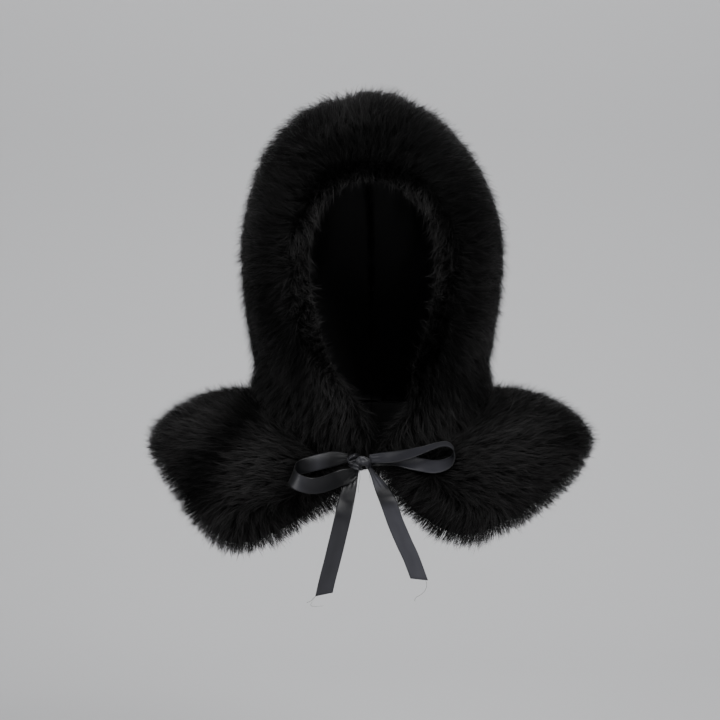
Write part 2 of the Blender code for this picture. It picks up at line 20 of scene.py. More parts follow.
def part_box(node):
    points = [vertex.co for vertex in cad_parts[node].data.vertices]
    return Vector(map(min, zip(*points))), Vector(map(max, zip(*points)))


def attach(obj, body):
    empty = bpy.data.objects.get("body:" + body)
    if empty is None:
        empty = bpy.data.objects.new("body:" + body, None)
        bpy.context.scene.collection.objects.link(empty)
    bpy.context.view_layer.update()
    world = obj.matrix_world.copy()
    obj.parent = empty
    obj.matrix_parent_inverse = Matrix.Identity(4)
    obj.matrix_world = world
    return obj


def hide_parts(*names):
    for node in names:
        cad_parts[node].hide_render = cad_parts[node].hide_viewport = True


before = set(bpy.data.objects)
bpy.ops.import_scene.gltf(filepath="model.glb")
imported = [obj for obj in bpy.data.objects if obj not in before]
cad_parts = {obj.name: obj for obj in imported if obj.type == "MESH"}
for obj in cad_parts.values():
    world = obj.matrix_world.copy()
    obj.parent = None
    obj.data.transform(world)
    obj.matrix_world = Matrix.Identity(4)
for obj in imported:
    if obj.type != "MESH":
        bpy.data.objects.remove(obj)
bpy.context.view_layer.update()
print("nodes:", ", ".join(sorted(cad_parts)))

# %% [markdown]
# ## Measures
#
# Real fur cloth is a knitted backing with two kinds of hair. A short dense underfur fills the
# pile, and longer, smoother guard hairs lie over it and catch the light. The numbers below are
# that cloth's own.

# %% The cloth's measures
MM = 0.001
BACKING_THICKNESS = 1.2 * MM
UNDERFUR_DEPTH = 8.5 * MM          # the underfur ends this far below the tips
HAIR_ROOT = 10.0 * MM              # a hair starts this far below the tips
HAIR_REACH = (18.0 * MM, 31.0 * MM)  # how far a hair runs along the surface
HAIR_WIDTH = 0.32 * MM
LOCK_SPACING = 6.0 * MM            # hairs gather into locks about this far apart
SEAM_GAP = 2.0 * MM                # a face with another panel this near lies in a seam
WALL_DEPTH = 31.0 * MM             # a face with more of the panel than this behind it is on the rim

HEAD_MIDDLE = Vector((-0.004, 0.010, 0.120))
BODY_MIDDLE = Vector((0.0, 0.010, -0.250))
THROAT = np.array((-0.010, -0.085, -0.035))
FACE_MIDDLE = np.array((-0.004, 0.0, 0.130))
LOBE_MIDDLES = {
    "cape_left": np.array((0.117, 0.0, -0.025)),
    "cape_right": np.array((-0.107, 0.0, -0.025)),
}
LOBE_HALF = np.array((0.095, 1.0, 0.075))  # half width and height of a front lobe of the cape
PANELS = ("hood_left", "hood_right", "cape_left", "cape_right")
LININGS = ("lining_left", "lining_right")
rng = np.random.default_rng(71)
print("panels to dress:", ", ".join(PANELS + LININGS))

# %% [markdown]
# ## A working copy of each panel
#
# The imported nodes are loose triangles, so a copy is merged before it is used. Each panel has a
# side that faces the wearer, a side that shows, and narrow faces that lie against the next panel
# in a seam. Hair grows only on the side that shows, so each face gets a number from 0 (no hair) to
# 1 (full).

# %% Merge the panels and find their seams and rims
def node_form(name):
    """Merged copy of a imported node."""
    shape = bmesh.new()
    shape.from_mesh(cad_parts[name].data)
    bmesh.ops.remove_doubles(shape, verts=shape.verts, dist=0.01 * MM)
    bmesh.ops.recalc_face_normals(shape, faces=shape.faces)
    shape.normal_update()
    return shape


def towards_wearer(name, point, normal):
    """From -1 (faces away) to 1 (faces the wearer)."""
    middle = BODY_MIDDLE
    if name.startswith("hood"):
        middle = Vector((HEAD_MIDDLE.x, HEAD_MIDDLE.y, min(max(point.z, 0.02), 0.20)))
    return normal.dot((middle - point).normalized())


def ease(value):
    """Smooth step from 0 to 1."""
    value = np.clip(value, 0.0, 1.0)
    return value * value * (3.0 - 2.0 * value)


def tree_of(points):
    """Search tree of a list of points."""
    tree = KDTree(len(points))
    for index, point in enumerate(points):
        tree.insert(point, index)
    tree.balance()
    return tree


forms = {name: node_form(name) for name in PANELS + LININGS}
trees = {name: BVHTree.FromBMesh(form) for name, form in forms.items()}


def in_a_seam(name, point):
    """Whether a point lies against another panel."""
    for other, tree in trees.items():
        if other != name and tree.find_nearest(point, SEAM_GAP)[0] is not None:
            return True
    return False


def rim_of(name):
    """Search tree of points on a panel's rim, found by how far the wall goes on behind them."""
    rim = []
    for face in forms[name].faces:
        centre = face.calc_center_median()
        behind = trees[name].ray_cast(centre - face.normal * 0.1 * MM, -face.normal)[3]
        if behind is not None and behind > WALL_DEPTH and not in_a_seam(name, centre):
            rim.append(centre)
    return tree_of(rim)


print("faces of the merged panels:", {name: len(form.faces) for name, form in forms.items()})

# %% Share out the hair over each panel
def panel_data(name):
    """Corner points and normals, triangles, areas, and the hair share of triangles and corners."""
    form = forms[name]
    form.verts.ensure_lookup_table()
    points = np.array([v.co for v in form.verts])
    triangles = np.array([[v.index for v in f.verts] for f in form.faces])
    share = np.zeros(len(form.faces))
    edge = np.zeros(len(form.faces))
    rim = rim_of(name) if name.startswith("cape") else None
    for index, face in enumerate(form.faces):
        centre = face.calc_center_median()
        if not in_a_seam(name, centre):
            share[index] = ease((0.55 - towards_wearer(name, centre, face.normal)) / 0.35)
            if rim is not None:
                off_rim = rim.find(centre)[2]
                edge[index] = ease((13.0 * MM - off_rim) / (8.0 * MM))
                share[index] = max(share[index], ease((17.0 * MM - off_rim) / (7.0 * MM)))
    first, second, third = (points[triangles[:, k]] for k in range(3))
    cross = np.cross(second - first, third - first)
    normals = np.zeros_like(points)
    for k in range(3):
        np.add.at(normals, triangles[:, k], cross * (share + 1e-4)[:, None])
    normals /= np.linalg.norm(normals, axis=1)[:, None]
    area = np.linalg.norm(cross, axis=1) / 2.0
    corner_share = np.zeros(len(points))
    corner_area = np.zeros(len(points))
    for k in range(3):
        np.add.at(corner_share, triangles[:, k], share * area)
        np.add.at(corner_area, triangles[:, k], area)
    corner_share /= corner_area
    return {
        "points": points, "normals": normals, "triangles": triangles,
        "share": share, "edge": edge, "area": area, "corner_share": corner_share,
    }


panels = {name: panel_data(name) for name in PANELS}
haired = {name: float(np.sum(data["area"] * data["share"])) for name, data in panels.items()}
for name, data in panels.items():
    print(f"{name}: {len(data['triangles'])} triangles, hair on {haired[name]:.3f} m2")

# %% [markdown]
# ## Materials
#
# Fur, lining and ribbon are all near-black, so what tells them apart is how they shine. The
# lining's weave is a small bump in object coordinates. Hair takes its tone from its own map:
# across the map each hair has its own tone, with painted shade and painted highlights in it, and
# up the map it goes from root to tip. Shared patterns sit in node groups.

# %% Helpers for materials, and the weave that the cloths share
def feed(tree, node, sources):
    """Link sources to the sockets of a node."""
    for socket, source in sources.items():
        tree.links.new(source, node.inputs[socket])


def add_node(tree, kind, values=None, sources=None, **options):
    """Add a shader node with its options, the values of its sockets and what feeds them."""
    node = tree.nodes.new(kind)
    for option, value in options.items():
        setattr(node, option, value)
    for socket, value in (values or {}).items():
        node.inputs[socket].default_value = value
    feed(tree, node, sources or {})
    return node


def new_group(name, numbers_in, numbers_out):
    """Node group that takes a place and numbers, and gives out numbers."""
    group = bpy.data.node_groups.new(name, "ShaderNodeTree")
    sockets = [("Vector", "INPUT", "NodeSocketVector")]
    sockets += [(number, "INPUT", "NodeSocketFloat") for number in numbers_in]
    sockets += [(number, "OUTPUT", "NodeSocketFloat") for number in numbers_out]
    for socket, direction, kind in sockets:
        group.interface.new_socket(name=socket, in_out=direction, socket_type=kind)
    return group, add_node(group, "NodeGroupInput").outputs, add_node(group, "NodeGroupOutput")


def new_material(name, colour, roughness, specular=0.20):
    """Principled material with its plain values set."""
    material = bpy.data.materials.new(name)
    material.use_nodes = True
    shader = material.node_tree.nodes["Principled BSDF"]
    shader.inputs["Base Color"].default_value = (*colour, 1.0)
    shader.inputs["Roughness"].default_value = roughness
    shader.inputs["Specular IOR Level"].default_value = specular
    return material, material.node_tree, shader


def mixed(tree, factor, dark, light):
    """Colour between a dark and a light one."""
    colours = {"A": (*dark, 1.0), "B": (*light, 1.0)}
    node = add_node(tree, "ShaderNodeMix", colours, {"Factor": factor}, data_type="RGBA")
    return node.outputs["Result"]


def ranged(tree, value, low, high):
    """A value from 0 to 1 brought to lie between two others."""
    ends = {"To Min": low, "To Max": high}
    return add_node(tree, "ShaderNodeMapRange", ends, {"Value": value}).outputs["Result"]


def scaled(tree, colour, amount):
    """Colour made lighter or darker by an amount."""
    sources = {0: colour, "Scale": amount}
    return add_node(tree, "ShaderNodeVectorMath", None, sources, operation="SCALE").outputs[0]


def relief(tree, height, strength, depth):
    """Normal of a surface with a fine relief."""
    values = {"Strength": strength, "Distance": depth}
    return add_node(tree, "ShaderNodeBump", values, {"Height": height}).outputs["Normal"]


def weave_group():
    """Fine cross weave with a slow unevenness: a height and a tone."""
    group, given, leave = new_group("Weave", ("Threads",), ("Height", "Tone"))
    lines = []
    for direction in ("X", "Z"):
        sources = {"Vector": given["Vector"], "Scale": given["Threads"]}
        wave = add_node(
            group, "ShaderNodeTexWave", {"Distortion": 0.6}, sources, bands_direction=direction
        )
        lines.append(wave.outputs["Fac"])
    both = add_node(group, "ShaderNodeMath", None, dict(enumerate(lines)), operation="ADD")
    slow = add_node(
        group, "ShaderNodeTexNoise", {"Scale": 38.0, "Detail": 4.0}, {"Vector": given["Vector"]}
    )
    feed(group, leave, {"Height": both.outputs[0], "Tone": slow.outputs["Fac"]})
    return group


WEAVE = weave_group()
print("nodes in the weave:", len(WEAVE.nodes))

# %% Make the cloth and hair materials
WEAVE_DEPTH = 0.15 * MM
ROUGHNESS_DRIFT = 0.08             # how far a cloth's roughness drifts to either side
HAIR_TONES = (0.03, 2.6)           # from the darkest hair to the lightest


def cloth_material(name, dark, light, roughness, threads, bump, specular=0.20):
    """Woven or knitted cloth whose tone and roughness vary slowly."""
    material, tree, shader = new_material(name, dark, roughness, specular)
    place = add_node(tree, "ShaderNodeTexCoord").outputs["Object"]
    weave = add_node(
        tree, "ShaderNodeGroup", {"Threads": threads}, {"Vector": place}, node_tree=WEAVE
    )
    tone = weave.outputs["Tone"]
    feed(tree, shader, {
        "Base Color": mixed(tree, tone, dark, light),
        "Roughness": ranged(tree, tone, roughness - ROUGHNESS_DRIFT, roughness + ROUGHNESS_DRIFT),
        "Normal": relief(tree, weave.outputs["Height"], bump, WEAVE_DEPTH),
    })
    return material


def hair_material(name, root, tip, roughness, specular):
    """Hair that is darker at the root and has its own tone from hair to hair, with light and shade
    painted in.
    """
    material, tree, shader = new_material(name, root, roughness, specular)
    place = add_node(tree, "ShaderNodeUVMap", uv_map="OFBake").outputs["UV"]
    split = add_node(tree, "ShaderNodeSeparateXYZ", None, {0: place}).outputs
    along = add_node(tree, "ShaderNodeValToRGB", None, {"Fac": split["Y"]})
    along.color_ramp.elements[0].color = (*root, 1.0)
    along.color_ramp.elements[1].color = (*tip, 1.0)
    along.color_ramp.elements[0].position = 0.25
    tone = ranged(tree, split["X"], *HAIR_TONES)
    feed(tree, shader, {"Base Color": scaled(tree, along.outputs["Color"], tone)})
    return material


# A cloth: dark, light, roughness, threads, bump, specular. Hair: root, tip, roughness, specular
backing_material = cloth_material(
    "Backing_knit", (0.0015, 0.0015, 0.0015), (0.0035, 0.0035, 0.0035), 0.85, 420.0, 0.5, 0.06
)
lining_material = cloth_material(
    "Lining_taffeta", (0.005, 0.005, 0.006), (0.009, 0.009, 0.010), 0.42, 900.0, 0.25
)
underfur_material = cloth_material(
    "Underfur", (0.0005, 0.0005, 0.0005), (0.001, 0.001, 0.001), 0.90, 130.0, 1.0, 0.03
)
hair_black = hair_material(
    "Guard_hair", (0.001, 0.001, 0.001), (0.021, 0.0203, 0.0203), 0.45, 0.06
)
print("materials:", len(bpy.data.materials))

# %% [markdown]
# ## The backing cloth
#
# Under all the hair is a knitted cloth. It is only seen from below, as the inside of the cape, yet
# it is what the panels are cut from. Each backing is the part of a panel's form that faces the
# wearer, given a real thickness with solidify. That keeps every piece exactly where the packed
# wall has it.

# %% Cut the backing cloth of each panel
def add_mesh(name, mesh, material):
    """Finish a mesh as a smooth object that rides on the capelet."""
    mesh.shade_smooth()
    mesh.materials.append(material)
    item = bpy.data.objects.new(name, mesh)
    bpy.context.scene.collection.objects.link(item)
    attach(item, "root")
    return item


def add_object(name, shape, material):
    """Make an object of a bmesh, which is used up."""
    mesh = bpy.data.meshes.new(name)
    shape.to_mesh(mesh)
    shape.free()
    item = add_mesh(name, mesh, material)
    print(f"{name}: {len(item.data.polygons)} faces")
    return item


def backing(name):
    """Thin cloth on the side of a panel that faces the wearer."""
    shape = forms[name].copy()
    outside = set()
    for face, share in zip(shape.faces, panels[name]["share"]):
        facing = towards_wearer(name, face.calc_center_median(), face.normal)
        if share > 0.2 or facing < 0.35:
            outside.add(face)
    bmesh.ops.delete(shape, geom=list(outside), context="FACES")
    bmesh.ops.subdivide_edges(shape, edges=shape.edges, cuts=1, use_grid_fill=True, smooth=0.5)
    bmesh.ops.triangulate(shape, faces=shape.faces)
    bmesh.ops.solidify(shape, geom=shape.faces, thickness=BACKING_THICKNESS)
    return add_object(name + "_backing", shape, backing_material)


backings = {name: backing(name) for name in PANELS}

# %% [markdown]
# ## The underfur
#
# Looking between the guard hairs one sees a dark, soft mass and never the cloth. It could be made
# with many short hairs, which costs far more than it shows. Here it is the panel's own rounded
# form, drawn in below the hair tips on the side that shows, and gently uneven.

# %% Draw the panel forms in to make the underfur
def waves(points, seed, rate, count=6):
    """Soft, repeatable unevenness from -1 to 1 at an array of points."""
    picker = np.random.default_rng(seed)
    total = np.zeros(len(points))
    for _ in range(count):
        direction = picker.normal(size=3)
        direction *= rate * picker.uniform(0.6, 1.4) / np.linalg.norm(direction)
        total += np.sin(points @ direction + picker.uniform(0.0, 2.0 * math.pi))
    return total / math.sqrt(count * 2.0)


def underfur(name):
    """Closed soft mass under the guard hair of a panel."""
    data = panels[name]
    shape = forms[name].copy()
    shape.verts.ensure_lookup_table()
    sinks = UNDERFUR_DEPTH + 1.2 * MM * waves(data["points"], 5, 260.0)
    bare = 1.0 - ease(data["corner_share"] * 3.0)
    for vert in shape.verts:
        out = Vector(data["normals"][vert.index])
        amount = float(bare[vert.index])
        inwards = vert.normal * (BACKING_THICKNESS * 1.6 * amount)
        vert.co = vert.co - inwards - out * (float(sinks[vert.index]) * (1.0 - amount))
    bmesh.ops.subdivide_edges(shape, edges=shape.edges, cuts=1, use_grid_fill=True, smooth=0.6)
    bmesh.ops.triangulate(shape, faces=shape.faces)
    return add_object(name + "_underfur", shape, underfur_material)


underfurs = {name: underfur(name) for name in PANELS}

# %% [markdown]
# ## The way the pile lies
#
# A furrier brushes the pile, and gravity does the rest. On the hood it lies back from the face
# edge on both sides of the ridge, then down, and over the neck seam it hangs. On the cape it fans
# out from the throat. Blender's hair curves could be combed by hand, but a rule for each point
# gives the same lie on every run. Arrays hold all hairs at once, because there are many thousands
# of them.

# %% Work out the lie of the pile
RIDGE_X = -0.006                   # of the hood's ridge, from which the pile falls to both sides


def unit(vectors):
    """Vectors scaled to length 1."""
    return vectors / np.maximum(np.linalg.norm(vectors, axis=-1, keepdims=True), 1e-9)


def away_from_face(points):
    """Direction in the front view from the middle of the hood's opening to each point."""
    away = points - FACE_MIDDLE
    away[:, 1] = 0.0
    away[:, 2] *= 0.8
    return unit(away)


def lie_of_pile(name, points, normals):
    """Wished direction of the hair at an array of points."""
    if name.startswith("hood"):
        away = away_from_face(points)
        # how far the surface turns outwards in the front view, then from 0 to 1: on the front
        # ridge, at the back, low by the neck, and off the middle
        outside = np.sum(away * normals, axis=1)
        ridge = ease((-normals[:, 1] - 0.35) / 0.5)
        back = ease((points[:, 1] + 0.09) / 0.16)
        low = ease((0.09 - points[:, 2]) / 0.11)
        side = ease(np.abs(points[:, 0] - RIDGE_X) / 0.05)
        wish = away * (1.15 * outside * (1.0 - 0.7 * back))[:, None]
        wish[:, 1] += 0.75 * ease(outside + 0.1) * (1.0 - 0.5 * back) - 0.9 * ridge
        wish[:, 2] -= side * (0.25 + 0.45 * back) + 1.25 * low + 0.5 * back
        wish[:, 0] += 0.45 * low * np.sign(points[:, 0] - RIDGE_X) * ease(outside + 0.2)
    else:
        wish = unit(points - THROAT)
        back = ease((points[:, 1] + 0.02) / 0.12)
        lobe = points - LOBE_MIDDLES[name]
        lobe[:, 1] = 0.0
        near_hem = ease((np.linalg.norm(lobe / LOBE_HALF, axis=1) - 0.45) / 0.45)
        wish += (unit(lobe) * 1.4 - wish) * (near_hem * (1.0 - back))[:, None]
        wish[:, 2] -= 0.05 + 0.65 * back
    for axis in range(3):
        broad, fine = waves(points, 20 + axis, 62.0), waves(points, 24 + axis, 180.0)
        wish[:, axis] += 0.30 * broad + 0.16 * fine
    return unit(wish)


for name, data in panels.items():
    way = lie_of_pile(name, data["points"], data["normals"]).mean(axis=0)
    print(f"{name}: on the whole the pile lies along", way.round(2))

# %% [markdown]
# ## Guard hair
#
# Each hair is a narrow blade of three faces that ends in a point: it starts in the underfur, rises
# and bends over. Neighbours lean together into locks, and each lock has its own lean and length.
# The blades of a panel are joined meshes made from arrays. Hair that would stand through the
# ribbon is laid under it.

# %% Scatter the roots
def scatter(data, count):
    """Points spread over a panel in step with area and hair share, with normals and edge shares."""
    amount = np.cumsum(data["area"] * data["share"])
    picks = (np.arange(count) + rng.random(count)) / count * amount[-1]
    faces = np.minimum(np.searchsorted(amount, picks), len(amount) - 1)
    first = np.sqrt(rng.random(count))
    second = rng.random(count)
    weights = np.stack((1.0 - first, first * (1.0 - second), first * second), axis=1)
    corners = data["triangles"][faces]
    points = np.einsum("nk,nkc->nc", weights, data["points"][corners])
    normals = unit(np.einsum("nk,nkc->nc", weights, data["normals"][corners]))
    return points, normals, data["edge"][faces]


def nearest_lock(points, centres):
    """Index of the nearest lock for each point."""
    tree = tree_of(centres)
    return np.array([tree.find(point)[1] for point in points])


lock_counts = {name: int(area / LOCK_SPACING ** 2) for name, area in haired.items()}
print("locks:", lock_counts)


# %% [markdown]
# ## Room for the ribbon
#
# A tied ribbon presses the pile down, so no hair comes through it. Each hair could be tested
# against the ribbon's mesh, which is slow. Instead rays are cast once on a grid of the front view,
# and the grid keeps how far back the ribbon reaches. A hair then only looks up its own cell.

# %% Find where the ribbon lies
BOW_PARTS = ("loop_left", "loop_right", "tail_left", "tail_right")
RIBBON_NODES = ("ribbon_knot", *("ribbon_" + part for part in BOW_PARTS))
RIBBON_CELL = 0.8 * MM             # of the map
RIBBON_MARGIN = 3                  # cells by which each ribbon is widened in the map
RIBBON_CLEAR = 0.5 * MM            # hair stays this far behind the ribbon
CHEST_Y = -0.05                    # all of the ribbon is in front of this
HAIR_FRONT_Y = -0.06               # only hair in front of this can meet it
NOWHERE = -1.0                     # far in front: no ribbon here
ribbon_low = np.min([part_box(name)[0] for name in RIBBON_NODES], axis=0)
ribbon_high = np.max([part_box(name)[1] for name in RIBBON_NODES], axis=0)


def ribbon_backs():
    """Depth of the rearmost ribbon surface on a grid of the front view."""
    ribbons = [BVHTree.FromBMesh(node_form(name)) for name in RIBBON_NODES]
    columns = int((ribbon_high[0] - ribbon_low[0]) / RIBBON_CELL) + 2
    rows = int((ribbon_high[2] - ribbon_low[2]) / RIBBON_CELL) + 2
    depths = np.full((columns, rows), NOWHERE)
    for i, j in np.ndindex(columns, rows):
        start = Vector((ribbon_low[0] + i * RIBBON_CELL, CHEST_Y, ribbon_low[2] + j * RIBBON_CELL))
        for tree in ribbons:
            hit = tree.ray_cast(start, Vector((0.0, -1.0, 0.0)))[0]
            if hit is not None:
                depths[i, j] = max(depths[i, j], hit.y)
    wide = depths.copy()
    shifts = range(-RIBBON_MARGIN, RIBBON_MARGIN + 1)
    for shift_x in shifts:
        for shift_z in shifts:
            wide = np.maximum(wide, np.roll(depths, (shift_x, shift_z), axis=(0, 1)))
    return wide


RIBBON_BACKS = ribbon_backs()


def laid_under_ribbon(paths):
    """Hair points in front of the ribbon are brought behind it."""
    i = np.round((paths[..., 0] - ribbon_low[0]) / RIBBON_CELL).astype(int)
    j = np.round((paths[..., 2] - ribbon_low[2]) / RIBBON_CELL).astype(int)
    columns, rows = RIBBON_BACKS.shape
    near = (i >= 0) & (i < columns) & (j >= 0) & (j < rows) & (paths[..., 1] < HAIR_FRONT_Y)
    behind = np.full(paths.shape[:-1], NOWHERE)
    behind[near] = RIBBON_BACKS[i[near], j[near]] + RIBBON_CLEAR
    paths[..., 1] = np.maximum(paths[..., 1], behind)
    return paths


print("ribbon map, cells across and up:", RIBBON_BACKS.shape)

# %% Make blades from arrays
HAIR_AT = np.array((0.0, 0.42, 0.76, 1.0))      # where along a hair its rows lie
HAIR_TAPER = np.array((1.0, 0.85, 0.55, 0.0))   # its width there
OWN_TONE = 0.98                    # a blade's tone is its place on the map, the rest is its width


def blades(name, paths, sides, widths, tones, material):
    """One mesh of tapered blades, given by middle points and the directions of their width."""
    count, steps, _ = paths.shape
    rows = steps - 1
    half = sides[:, None, :] * (widths[:, :rows, None] / 2.0)
    ring = np.empty((count, rows * 2 + 1, 3))
    ring[:, 0:rows * 2:2] = paths[:, :rows] - half
    ring[:, 1:rows * 2:2] = paths[:, :rows] + half
    ring[:, rows * 2] = paths[:, rows]
    corners = []
    for row in range(rows - 1):
        corners += [2 * row, 2 * row + 1, 2 * row + 3, 2 * row + 2]
    corners += [2 * rows - 2, 2 * rows - 1, 2 * rows]
    sizes = np.array([4] * (rows - 1) + [3])
    loops = (np.array(corners)[None, :] + np.arange(count)[:, None] * (rows * 2 + 1)).ravel()
    sizes = np.tile(sizes, count)
    mesh = bpy.data.meshes.new(name)
    mesh.vertices.add(ring.shape[0] * ring.shape[1])
    mesh.vertices.foreach_set("co", ring.astype(np.float32).ravel())
    mesh.loops.add(len(loops))
    mesh.loops.foreach_set("vertex_index", loops.astype(np.int32))
    mesh.polygons.add(len(sizes))
    starts = np.concatenate(([0], np.cumsum(sizes)[:-1]))
    mesh.polygons.foreach_set("loop_start", starts.astype(np.int32))
    mesh.update(calc_edges=True)
    across = np.zeros(rows * 2 + 1)
    across[1:rows * 2:2] = 1.0
    across[rows * 2] = 0.5
    up = np.repeat(np.arange(rows + 1) / rows, 2)[:rows * 2 + 1]
    u = tones[:, None] * OWN_TONE + 0.02 * across[corners][None, :]
    v = np.broadcast_to(up[corners][None, :], u.shape)
    layer = mesh.uv_layers.new(name="OFBake")
    layer.data.foreach_set("uv", np.stack((u, v), axis=-1).astype(np.float32).ravel())
    return add_mesh(name, mesh, material)


print("a hair is this wide on its way, in mm:", (HAIR_TAPER * HAIR_WIDTH / MM).round(2))

# %% Keep hair close to the fur it belongs to
SEARCH = 20.0 * MM                 # how far off the next panel is looked for


def drawn_in(tree, points, most):
    """Points that stand further off a form than they may are drawn in to it."""
    for index, point in enumerate(points):
        place, normal, _, distance = tree.find_nearest(point)
        gap = Vector(point) - place
        if distance > most[index] and gap.dot(normal) > 0.0:
            points[index] = place + gap * (most[index] / distance)
    return points


def laid_over(tree, points, clear):
    """Points that have sunk into the next panel are laid over it."""
    for index, point in enumerate(points):
        place, normal, _, distance = tree.find_nearest(point, SEARCH)
        if place is not None and (Vector(point) - place).dot(normal) < clear:
            points[index] = place + normal * clear
    return points


print("forms that hair can be kept to:", len(trees))

# %% [markdown]
# ## Painted light and shade in the pile
#
# Long pile parts and closes as it hangs, so under the lights it shows dark valleys and pale
# crests, and at the hood's opening a pale edge before a dark band. That light and shade is
# painted into the hair's tone. An image could be painted for this. A few soft patches and the
# distance from the opening's outline do it with plain numbers that can be moved one by one.

# %% Say where shade and light are painted on the pile
# Patches of painted shade and painted highlight, seen from the front: x, z, half width, half
# height, slant in degrees, tone
PAINTED_LIGHT_PATCHES = {
    "cape": (
        (-0.121, -0.007, 0.045, 0.0150, 53.0, -0.80),
        (-0.144, -0.055, 0.018, 0.020, 0.0, -0.30),
        (-0.108, -0.031, 0.042, 0.022, 50.0, 0.34),
        (-0.070, -0.073, 0.032, 0.011, 15.0, -0.40),
        (-0.068, -0.004, 0.014, 0.010, 0.0, -0.35),
        (-0.168, 0.000, 0.030, 0.022, 0.0, 0.42),
        (-0.088, -0.093, 0.016, 0.008, 0.0, 0.15),
        (0.104, -0.014, 0.055, 0.027, -15.0, 0.44),
        (0.133, -0.066, 0.030, 0.015, 20.0, 0.15),
        (0.182, 0.002, 0.022, 0.028, 0.0, -0.62),
        (0.057, -0.081, 0.035, 0.014, -25.0, -0.50),
        (0.076, -0.047, 0.030, 0.012, -20.0, -0.15),
        (0.038, 0.000, 0.020, 0.012, 0.0, -0.22),
    ),
    "hood": (
        (-0.085, 0.115, 0.016, 0.030, 0.0, -0.25),
        (-0.071, 0.066, 0.020, 0.020, 0.0, -0.25),
        (0.076, 0.047, 0.022, 0.022, 0.0, -0.30),
        (0.010, 0.251, 0.050, 0.016, 0.0, -0.25),
        (0.085, 0.205, 0.016, 0.030, 0.0, -0.25),
        (-0.047, 0.277, 0.030, 0.015, 30.0, 0.15),
        (0.061, 0.268, 0.030, 0.015, -30.0, 0.12),
        (-0.065, 0.020, 0.026, 0.020, -40.0, 0.20),
        (0.076, 0.005, 0.030, 0.015, 30.0, 0.18),
    ),
}


def tone_and_painted_light_of_pile(name, points):
    """Tone from 0 to 1: soft unevenness, and the patches of painted shade and painted highlight."""
    tone = 0.34 + 0.20 * waves(points, 33, 105.0) + 0.16 * waves(points, 36, 48.0)
    front = ease((0.06 - points[:, 1]) / 0.06)
    for x, z, wide, high, slant, amount in PAINTED_LIGHT_PATCHES[name.split("_")[0]]:
        turn = math.radians(slant)
        across = (points[:, 0] - x) * math.cos(turn) + (points[:, 2] - z) * math.sin(turn)
        along = (points[:, 2] - z) * math.cos(turn) - (points[:, 0] - x) * math.sin(turn)
        tone += amount * front * np.exp(-((across / wide) ** 2) - (along / high) ** 2)
    return tone


print("dark and light patches:", {kind: len(rows) for kind, rows in PAINTED_LIGHT_PATCHES.items()})

# %% Paint shade and light on the pile round the hood's opening
# The bright edge is a painted highlight and the dark band is painted shade
BAND_END, BAND_FADE = 36.0 * MM, 16.0 * MM   # where the dark band round the opening fades out
EDGE_BROAD = (24.0 * MM, 12.0 * MM)          # breadth of the bright edge where x < 0, and x > 0
OPENING_MIDDLE = -0.0014
# Half of the hood's opening as seen from the front, from its top to the throat: x and z
OPENING = np.array((
    (0.0, 0.222), (0.012, 0.219), (0.037, 0.212), (0.0495, 0.197), (0.054, 0.170), (0.054, 0.147),
    (0.048, 0.118), (0.033, 0.089), (0.028, 0.047), (0.006, 0.011),
))


def off_opening(points):
    """How far points lie outside the opening's outline in the front view."""
    half = np.abs(points[:, 0] - OPENING_MIDDLE)
    place = np.stack((half, points[:, 2]), axis=1)
    nearest = np.full(len(points), 1.0)
    for start, end in zip(OPENING, OPENING[1:]):
        way = end - start
        share = np.clip((place - start) @ way / (way @ way), 0.0, 1.0)
        nearest = np.minimum(nearest, np.linalg.norm(place - start - share[:, None] * way, axis=1))
    width = np.interp(points[:, 2], OPENING[::-1, 1], OPENING[::-1, 0])
    inside = (half < width) & (points[:, 2] < OPENING[0, 1])
    return np.where(inside, -nearest, nearest)


def painted_light_round_opening(name, points):
    """Share of its tone that the pile keeps, and what is added to it.

    Round the hood's opening runs a painted highlight at the edge, then a band of painted shade,
    and the outer pile is painted lighter. The crown is painted darker, the back of the hood lighter.
    """
    if name.startswith("cape"):
        return np.ones(len(points)), np.zeros(len(points))
    front = ease((0.02 - points[:, 1]) / 0.05)
    away = off_opening(points) + 5.0 * MM * waves(points, 61, 60.0)
    outer = ease((away - BAND_END) / BAND_FADE)
    broad = np.where(points[:, 0] < 0.0, *EDGE_BROAD) * ease((0.195 - points[:, 2]) / 0.03)
    inner = 1.0 - ease((away - 1.0 * MM - 0.4 * broad) / (6.0 * MM + broad))
    band = (1.0 - outer) * (1.0 - inner) * front
    low = ease((0.05 - points[:, 2]) / 0.05)
    kept = 1.0 - 0.70 * band * (1.0 - 0.8 * low)
    # painted highlight at the edge and on the back of the hood, painted shade in the band
    added = (-0.22 + 0.08 * outer + 0.52 * inner) * front * (1.0 - low) + 0.06 * (1.0 - front)
    # painted shade on the crown
    added -= 0.14 * ease((points[:, 2] - 0.20) / 0.04)
    return kept, added


half_wide, high = OPENING.max(axis=0) - OPENING.min(axis=0)
print(f"opening: {2 * half_wide / MM:.0f} mm wide and {high / MM:.0f} mm high")

# %% [markdown]
# ## Combing
#
# On the real cloth every hair springs from its root, bends over with its lock and ends a little
# off its neighbours. Here each hair is a curve through three points, moved by its lock and then
# kept near the panel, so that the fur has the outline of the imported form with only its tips
# beyond.

# %% Bend hairs and keep them in their place
LONGEST_STEP = 26.0 * MM           # between two rows of one hair
# The corners of the two fronts beside the knot hang lower: x and z
LOW_CORNERS = ((0.0190, -0.0560), (-0.0360, -0.0620))
CORNER_REACH = 17.0 * MM
CORNER_DROP = 10.0 * MM
# The open gap under the knot: x of its sides, z of its top at the fronts and at the back's hem
GAP_SIDES = (-0.0150, 0.0010)
GAP_TOP, BACK_GAP_TOP = -0.0400, -0.0460


def hanging(points):
    """Share from 0 to 1 by which the pile hangs lower: at the fronts' corners beside the knot."""
    share = np.zeros(len(points))
    for x, z in LOW_CORNERS:
        off = (points[:, 0] - x) ** 2 + (points[:, 2] - z) ** 2
        share += np.exp(-off / CORNER_REACH ** 2)
    return np.minimum(share, 1.0) * ease((-0.04 - points[:, 1]) / 0.02)


